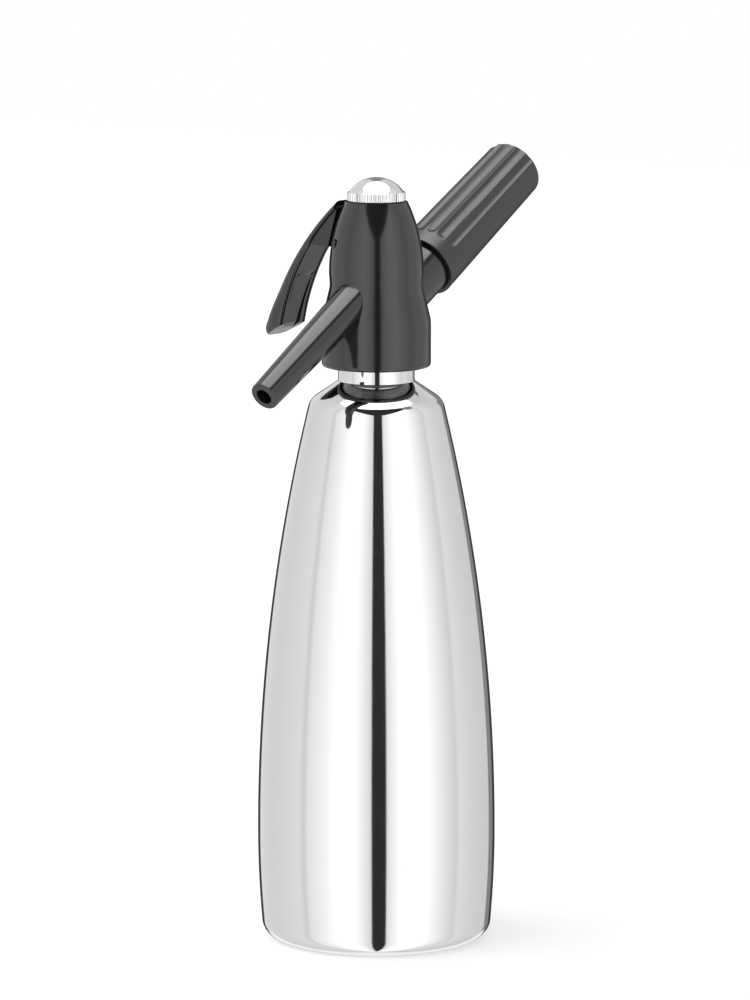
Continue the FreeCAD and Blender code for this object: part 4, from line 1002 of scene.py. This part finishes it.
# Nodes whose finish isn't the one that their slot is named for: the lever's steel pin is given black oxide
# steel, painted shade that stands in for the shade in its hole
PAINTED_SHADE_FINISH = {"lever_pin": "dark_steel"}


class SIPHON_OT_works(PieceOperator):
    """Gives every carried-over node its finish"""
    bl_idname = "siphon.works"
    bl_label = "Working parts"

    def make(self, settings):
        for name, node in frame["nodes"].items():
            slots = [material.name.split(".")[0] for material in node.data.materials]
            for index, slot in enumerate(slots):
                if slot not in MATERIALS:
                    raise RuntimeError(f"no finish is named {slot}, which {name} needs")
                # Painted shade: the lever's pin takes a black finish in place of the shade in its hole.
                node.data.materials[index] = MATERIALS[PAINTED_SHADE_FINISH.get(name, slot)]


# Stage

CAMERA_TURN = math.radians(38.0)
CAMERA_DISTANCE = 2.4
CAMERA_HEIGHT = 0.55
CAMERA_PITCH = math.radians(8.61)
CAMERA_SIDESTEP = -0.58 * MM
CAMERA_LENS = 207.36
SENSOR = 36.0
# Brightness of the studio round the siphon by angle from the camera's side, in degrees, rightward positive
STUDIO_BANDS = [
    (-180, 1.0), (-120, 1.1), (-81, 1.27), (-75, 1.06), (-70, 1.35), (-56, 1.54), (-43, 1.8), (-36, 2.0),
    (-26, 1.95), (-18, 1.7), (-5, 1.2), (5, 1.0), (12, 1.4), (20, 1.7), (30, 2.0), (46, 2.1), (54, 1.75),
    (64, 1.53), (74, 1.3), (84, 1.1), (89, 1.28), (107, 1.13), (138, 0.97), (180, 1.0),
]
BAND_PEAK = 3.0
# The dark gap that the camera stands in, which widens upward
GAP_MIDDLE = math.radians(2.5)
GAP_HALF = math.radians(7.2)
GAP_SOFTNESS = math.radians(2.0)
GAP_SPREAD = 2.0
GAP_SPREAD_FROM = math.radians(20.0)
GAP_LEVEL = 0.045
# The unlit wall behind, wider and darker near the horizon than above it
BACK_LOW = math.radians(156.0)
BACK_HIGH = math.radians(171.0)
BACK_SOFTNESS = math.radians(5.0)
BACK_RISE = math.radians(2.0)
BACK_RISE_SOFTNESS = math.radians(4.0)
BACK_LEVEL = 0.06
BACK_HIGH_LEVEL = 0.4
BACK_HIGH_FROM = math.radians(8.0)
# The half-lit wall beside it on the right
SIDE_FROM = math.radians(142.0)
SIDE_FROM_SOFTNESS = math.radians(4.0)
SIDE_RISE = math.radians(18.0)
SIDE_LEVEL = 0.33
# How softly the other edges between two heights blend
RISE_SOFTNESS = math.radians(6.0)
# The softbox overhead and the gap in it on the right
TOP_LIGHT_FROM = math.radians(57.0)
TOP_LIGHT = 5.0
SHADE_TURN = math.radians(71.0)
SHADE_RISE = math.radians(50.0)
SHADE_REACH = math.radians(9.0)
SHADE_SOFTNESS = 0.008
SHADE_LEVEL = 0.35
# The floor, which is evenly bright behind the siphon and mirrors the walls' bands elsewhere
FLOOR_FROM = math.radians(-22.0)
FLOOR_BEHIND_FROM = math.radians(150.0)
FLOOR_BEHIND_SOFTNESS = math.radians(24.0)
FLOOR_BEHIND = 1.4
# The even light that falls on dull surfaces from all round
ROOM_LIGHT = 0.75
# The even light from the upper left that shades the floor
SUN_SOFTNESS = math.radians(60.0)
SUN_STRENGTH = 0.8
SUN_FROM = Vector((-0.9, -0.7, 1.5))
# What the camera sees on top of the paper's own light, so that the unshaded floor is just white
FLOOR_LIFT = 0.28


class SIPHON_OT_stage(bpy.types.Operator):
    """Adds the floor, the studio light and the camera"""
    bl_idname = "siphon.stage"
    bl_label = "Stage"
    bl_options = {"REGISTER", "UNDO"}

    def execute(self, context):
        """Builds the stage round the siphon."""
        self.add_floor(context.scene.siphon.colours)
        self.add_studio(context.scene)
        self.add_lamps(context.scene)
        self.add_camera(context.scene)
        context.scene.view_settings.view_transform = "Standard"
        return {"FINISHED"}

    def add_floor(self, colours):
        """A paper floor, seen white by the camera, that keeps the siphon's shadow."""
        mesh = bmesh.new()
        bmesh.ops.create_grid(mesh, x_segments=8, y_segments=8, size=3.0)
        data = bpy.data.meshes.new("paper_floor")
        mesh.to_mesh(data)
        mesh.free()
        floor = bpy.data.objects.new("paper_floor", data)
        bpy.context.scene.collection.objects.link(floor)
        material, tree, place = new_material("paper_matt_white")
        fibres = noise(tree, place, grain=2.5 * MM, detail=3.0)
        paper = add_node(tree, "ShaderNodeBsdfDiffuse", {"Color": rgba(colours.floor),
                                                         "Normal": bump(tree, fibres, distance=0.05 * MM)})
        lift = add_node(tree, "ShaderNodeEmission", {"Color": rgba(linear("#ffffff")), "Strength": FLOOR_LIFT})
        bright = add_node(tree, "ShaderNodeAddShader", {0: paper.outputs[0], 1: lift.outputs[0]})
        rays = add_node(tree, "ShaderNodeLightPath").outputs["Is Camera Ray"]
        seen = add_node(tree, "ShaderNodeMixShader", {0: rays, 1: paper.outputs[0], 2: bright.outputs[0]})
        add_node(tree, "ShaderNodeOutputMaterial", {"Surface": seen.outputs[0]})
        data.materials.append(material)
        floor.visible_glossy = False

    def add_studio(self, scene):
        """The studio's walls of light: white to the camera, banded in the metal's and plastic's reflections."""
        world = bpy.data.worlds.new("studio")
        scene.world = world
        world.use_nodes = True
        tree = world.node_tree
        tree.nodes.clear()

        def maths(operation, first, second=0.0):
            return add_node(tree, "ShaderNodeMath", {0: first, 1: second}, operation=operation).outputs["Value"]

        def step(value, start, softness):
            return add_node(tree, "ShaderNodeMapRange", {
                "Value": value, "From Min": start - softness / 2, "From Max": start + softness / 2,
            }, interpolation_type="SMOOTHSTEP").outputs["Result"]

        def blend(share, first, second):
            return add_node(tree, "ShaderNodeMix", {"Factor": share, "A": first, "B": second}).outputs["Result"]

        direction = add_node(tree, "ShaderNodeTexCoord").outputs["Generated"]
        turned = add_node(tree, "ShaderNodeVectorRotate", {"Vector": direction, "Angle": -CAMERA_TURN},
                          rotation_type="Z_AXIS").outputs["Vector"]
        parts = add_node(tree, "ShaderNodeSeparateXYZ", {"Vector": turned})
        turn = maths("ARCTAN2", parts.outputs["X"], maths("MULTIPLY", parts.outputs["Y"], -1.0))
        rise = maths("ARCSINE", parts.outputs["Z"])
        share = maths("ADD", maths("DIVIDE", turn, FULL_TURN), 0.5)
        ramp = add_node(tree, "ShaderNodeValToRGB", {"Fac": share})
        stops = ramp.color_ramp.elements
        while len(stops) > 1:
            stops.remove(stops[-1])
        for index, (degrees, brightness) in enumerate(STUDIO_BANDS):
            position = degrees / 360 + 0.5
            stop = stops[0] if index == 0 else stops.new(position)
            stop.position = position
            level = brightness / BAND_PEAK
            stop.color = (level, level, level, 1.0)
        bands = maths("MULTIPLY", ramp.outputs["Color"], BAND_PEAK)
        off_middle = maths("ABSOLUTE", maths("SUBTRACT", turn, GAP_MIDDLE))
        above = maths("MAXIMUM", maths("SUBTRACT", rise, GAP_SPREAD_FROM), 0.0)
        edge = maths("ADD", maths("MULTIPLY", above, GAP_SPREAD), GAP_HALF)
        beside_gap = step(maths("SUBTRACT", off_middle, edge), 0.0, GAP_SOFTNESS)
        walls_round = blend(beside_gap, GAP_LEVEL, bands)
        away = maths("ABSOLUTE", turn)
        back_edge = blend(step(rise, BACK_RISE, BACK_RISE_SOFTNESS), BACK_LOW, BACK_HIGH)
        behind = step(maths("SUBTRACT", away, back_edge), 0.0, BACK_SOFTNESS)
        below = maths("SUBTRACT", 1.0, step(rise, SIDE_RISE, RISE_SOFTNESS))
        at_side = maths("MULTIPLY", step(turn, SIDE_FROM, SIDE_FROM_SOFTNESS), below)
        walls = blend(at_side, walls_round, SIDE_LEVEL)
        back = blend(step(rise, BACK_HIGH_FROM, RISE_SOFTNESS), BACK_LEVEL, BACK_HIGH_LEVEL)
        walls = blend(behind, walls, back)
        floor = blend(step(away, FLOOR_BEHIND_FROM, FLOOR_BEHIND_SOFTNESS), walls_round, FLOOR_BEHIND)
        walls = blend(step(rise, FLOOR_FROM, RISE_SOFTNESS), floor, walls)
        shade_way = self.toward(tree, turned, SHADE_TURN, SHADE_RISE)
        walls = blend(step(shade_way, math.cos(SHADE_REACH), SHADE_SOFTNESS), walls, SHADE_LEVEL)
        studio = blend(step(rise, TOP_LIGHT_FROM, RISE_SOFTNESS), walls, TOP_LIGHT)
        rays = add_node(tree, "ShaderNodeLightPath")
        mirrored = maths("MAXIMUM", rays.outputs["Is Glossy Ray"], rays.outputs["Is Transmission Ray"])
        level = blend(mirrored, ROOM_LIGHT, studio)
        level = blend(rays.outputs["Is Camera Ray"], level, 1.0)
        glow = add_node(tree, "ShaderNodeBackground", {"Color": rgba(linear("#ffffff")), "Strength": level})
        add_node(tree, "ShaderNodeOutputWorld", {"Surface": glow.outputs["Background"]})

    def toward(self, tree, direction, turn, rise):
        """How far a direction points toward a turn and a rise: the cosine of the angle between them."""
        way = (math.cos(rise) * math.sin(turn), -math.cos(rise) * math.cos(turn), math.sin(rise))
        return add_node(tree, "ShaderNodeVectorMath", {0: direction, 1: way},
                        operation="DOT_PRODUCT").outputs["Value"]

    def add_lamps(self, scene):
        """One wide, even light from the upper left, for the shadow on the floor."""
        data = bpy.data.lights.new("softbox", "SUN")
        data.angle = SUN_SOFTNESS
        data.energy = SUN_STRENGTH
        lamp = bpy.data.objects.new("softbox", data)
        lamp.location = SUN_FROM
        lamp.rotation_euler = (-SUN_FROM).to_track_quat("-Z", "Y").to_euler()
        lamp.visible_glossy = False
        lamp.visible_camera = False
        scene.collection.objects.link(lamp)

    def add_camera(self, scene):
        """The camera at the photograph's viewing angle."""
        data = bpy.data.cameras.new("camera")
        data.lens = CAMERA_LENS
        data.sensor_width = SENSOR
        camera = bpy.data.objects.new("camera", data)
        outward = Vector((math.sin(CAMERA_TURN), -math.cos(CAMERA_TURN), 0))
        rightward = Vector((math.cos(CAMERA_TURN), math.sin(CAMERA_TURN), 0))
        upward = Vector((0, 0, CAMERA_HEIGHT))
        camera.location = outward * CAMERA_DISTANCE + rightward * CAMERA_SIDESTEP + upward
        camera.rotation_euler = (math.pi / 2 - CAMERA_PITCH, 0, CAMERA_TURN)
        scene.collection.objects.link(camera)
        scene.camera = camera


OPERATORS = [
    SIPHON_OT_bottle,
    SIPHON_OT_cover,
    SIPHON_OT_cap,
    SIPHON_OT_lever,
    SIPHON_OT_spout,
    SIPHON_OT_holder,
    SIPHON_OT_works,
    SIPHON_OT_stage,
]
GROUPS = [BottleSizes, HeadSizes, LeverSizes, BranchSizes, FinishColours, SiphonSettings]


class SIPHON_PT_panel(bpy.types.Panel):
    """Lists the settings and the buttons that build the siphon"""
    bl_label = "Soda siphon"
    bl_idname = "SIPHON_PT_panel"
    bl_space_type = "VIEW_3D"
    bl_region_type = "UI"
    bl_category = "Siphon"

    def draw(self, context):
        """Draws each group's properties and each operator's button."""
        settings = context.scene.siphon
        for group_name in ("bottle", "head", "lever", "branches", "colours"):
            group = getattr(settings, group_name)
            box = self.layout.box()
            box.label(text=group_name.capitalize())
            for name in group.__annotations__:
                box.prop(group, name)
        for operator in OPERATORS:
            self.layout.operator(operator.bl_idname)


def register():
    """Registers the classes and the scene's settings."""
    for group in GROUPS + OPERATORS + [SIPHON_PT_panel]:
        bpy.utils.register_class(group)
    bpy.types.Scene.siphon = PointerProperty(type=SiphonSettings)


def unregister():
    """Takes the scene's settings and the classes out again."""
    del bpy.types.Scene.siphon
    for group in reversed(GROUPS + OPERATORS + [SIPHON_PT_panel]):
        bpy.utils.unregister_class(group)


def main():
    """Builds the siphon on its stage."""
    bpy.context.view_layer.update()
    register()
    for operator in OPERATORS:
        family, name = operator.bl_idname.split(".")
        getattr(getattr(bpy.ops, family), name)()


if __name__ == "__main__":
    main()
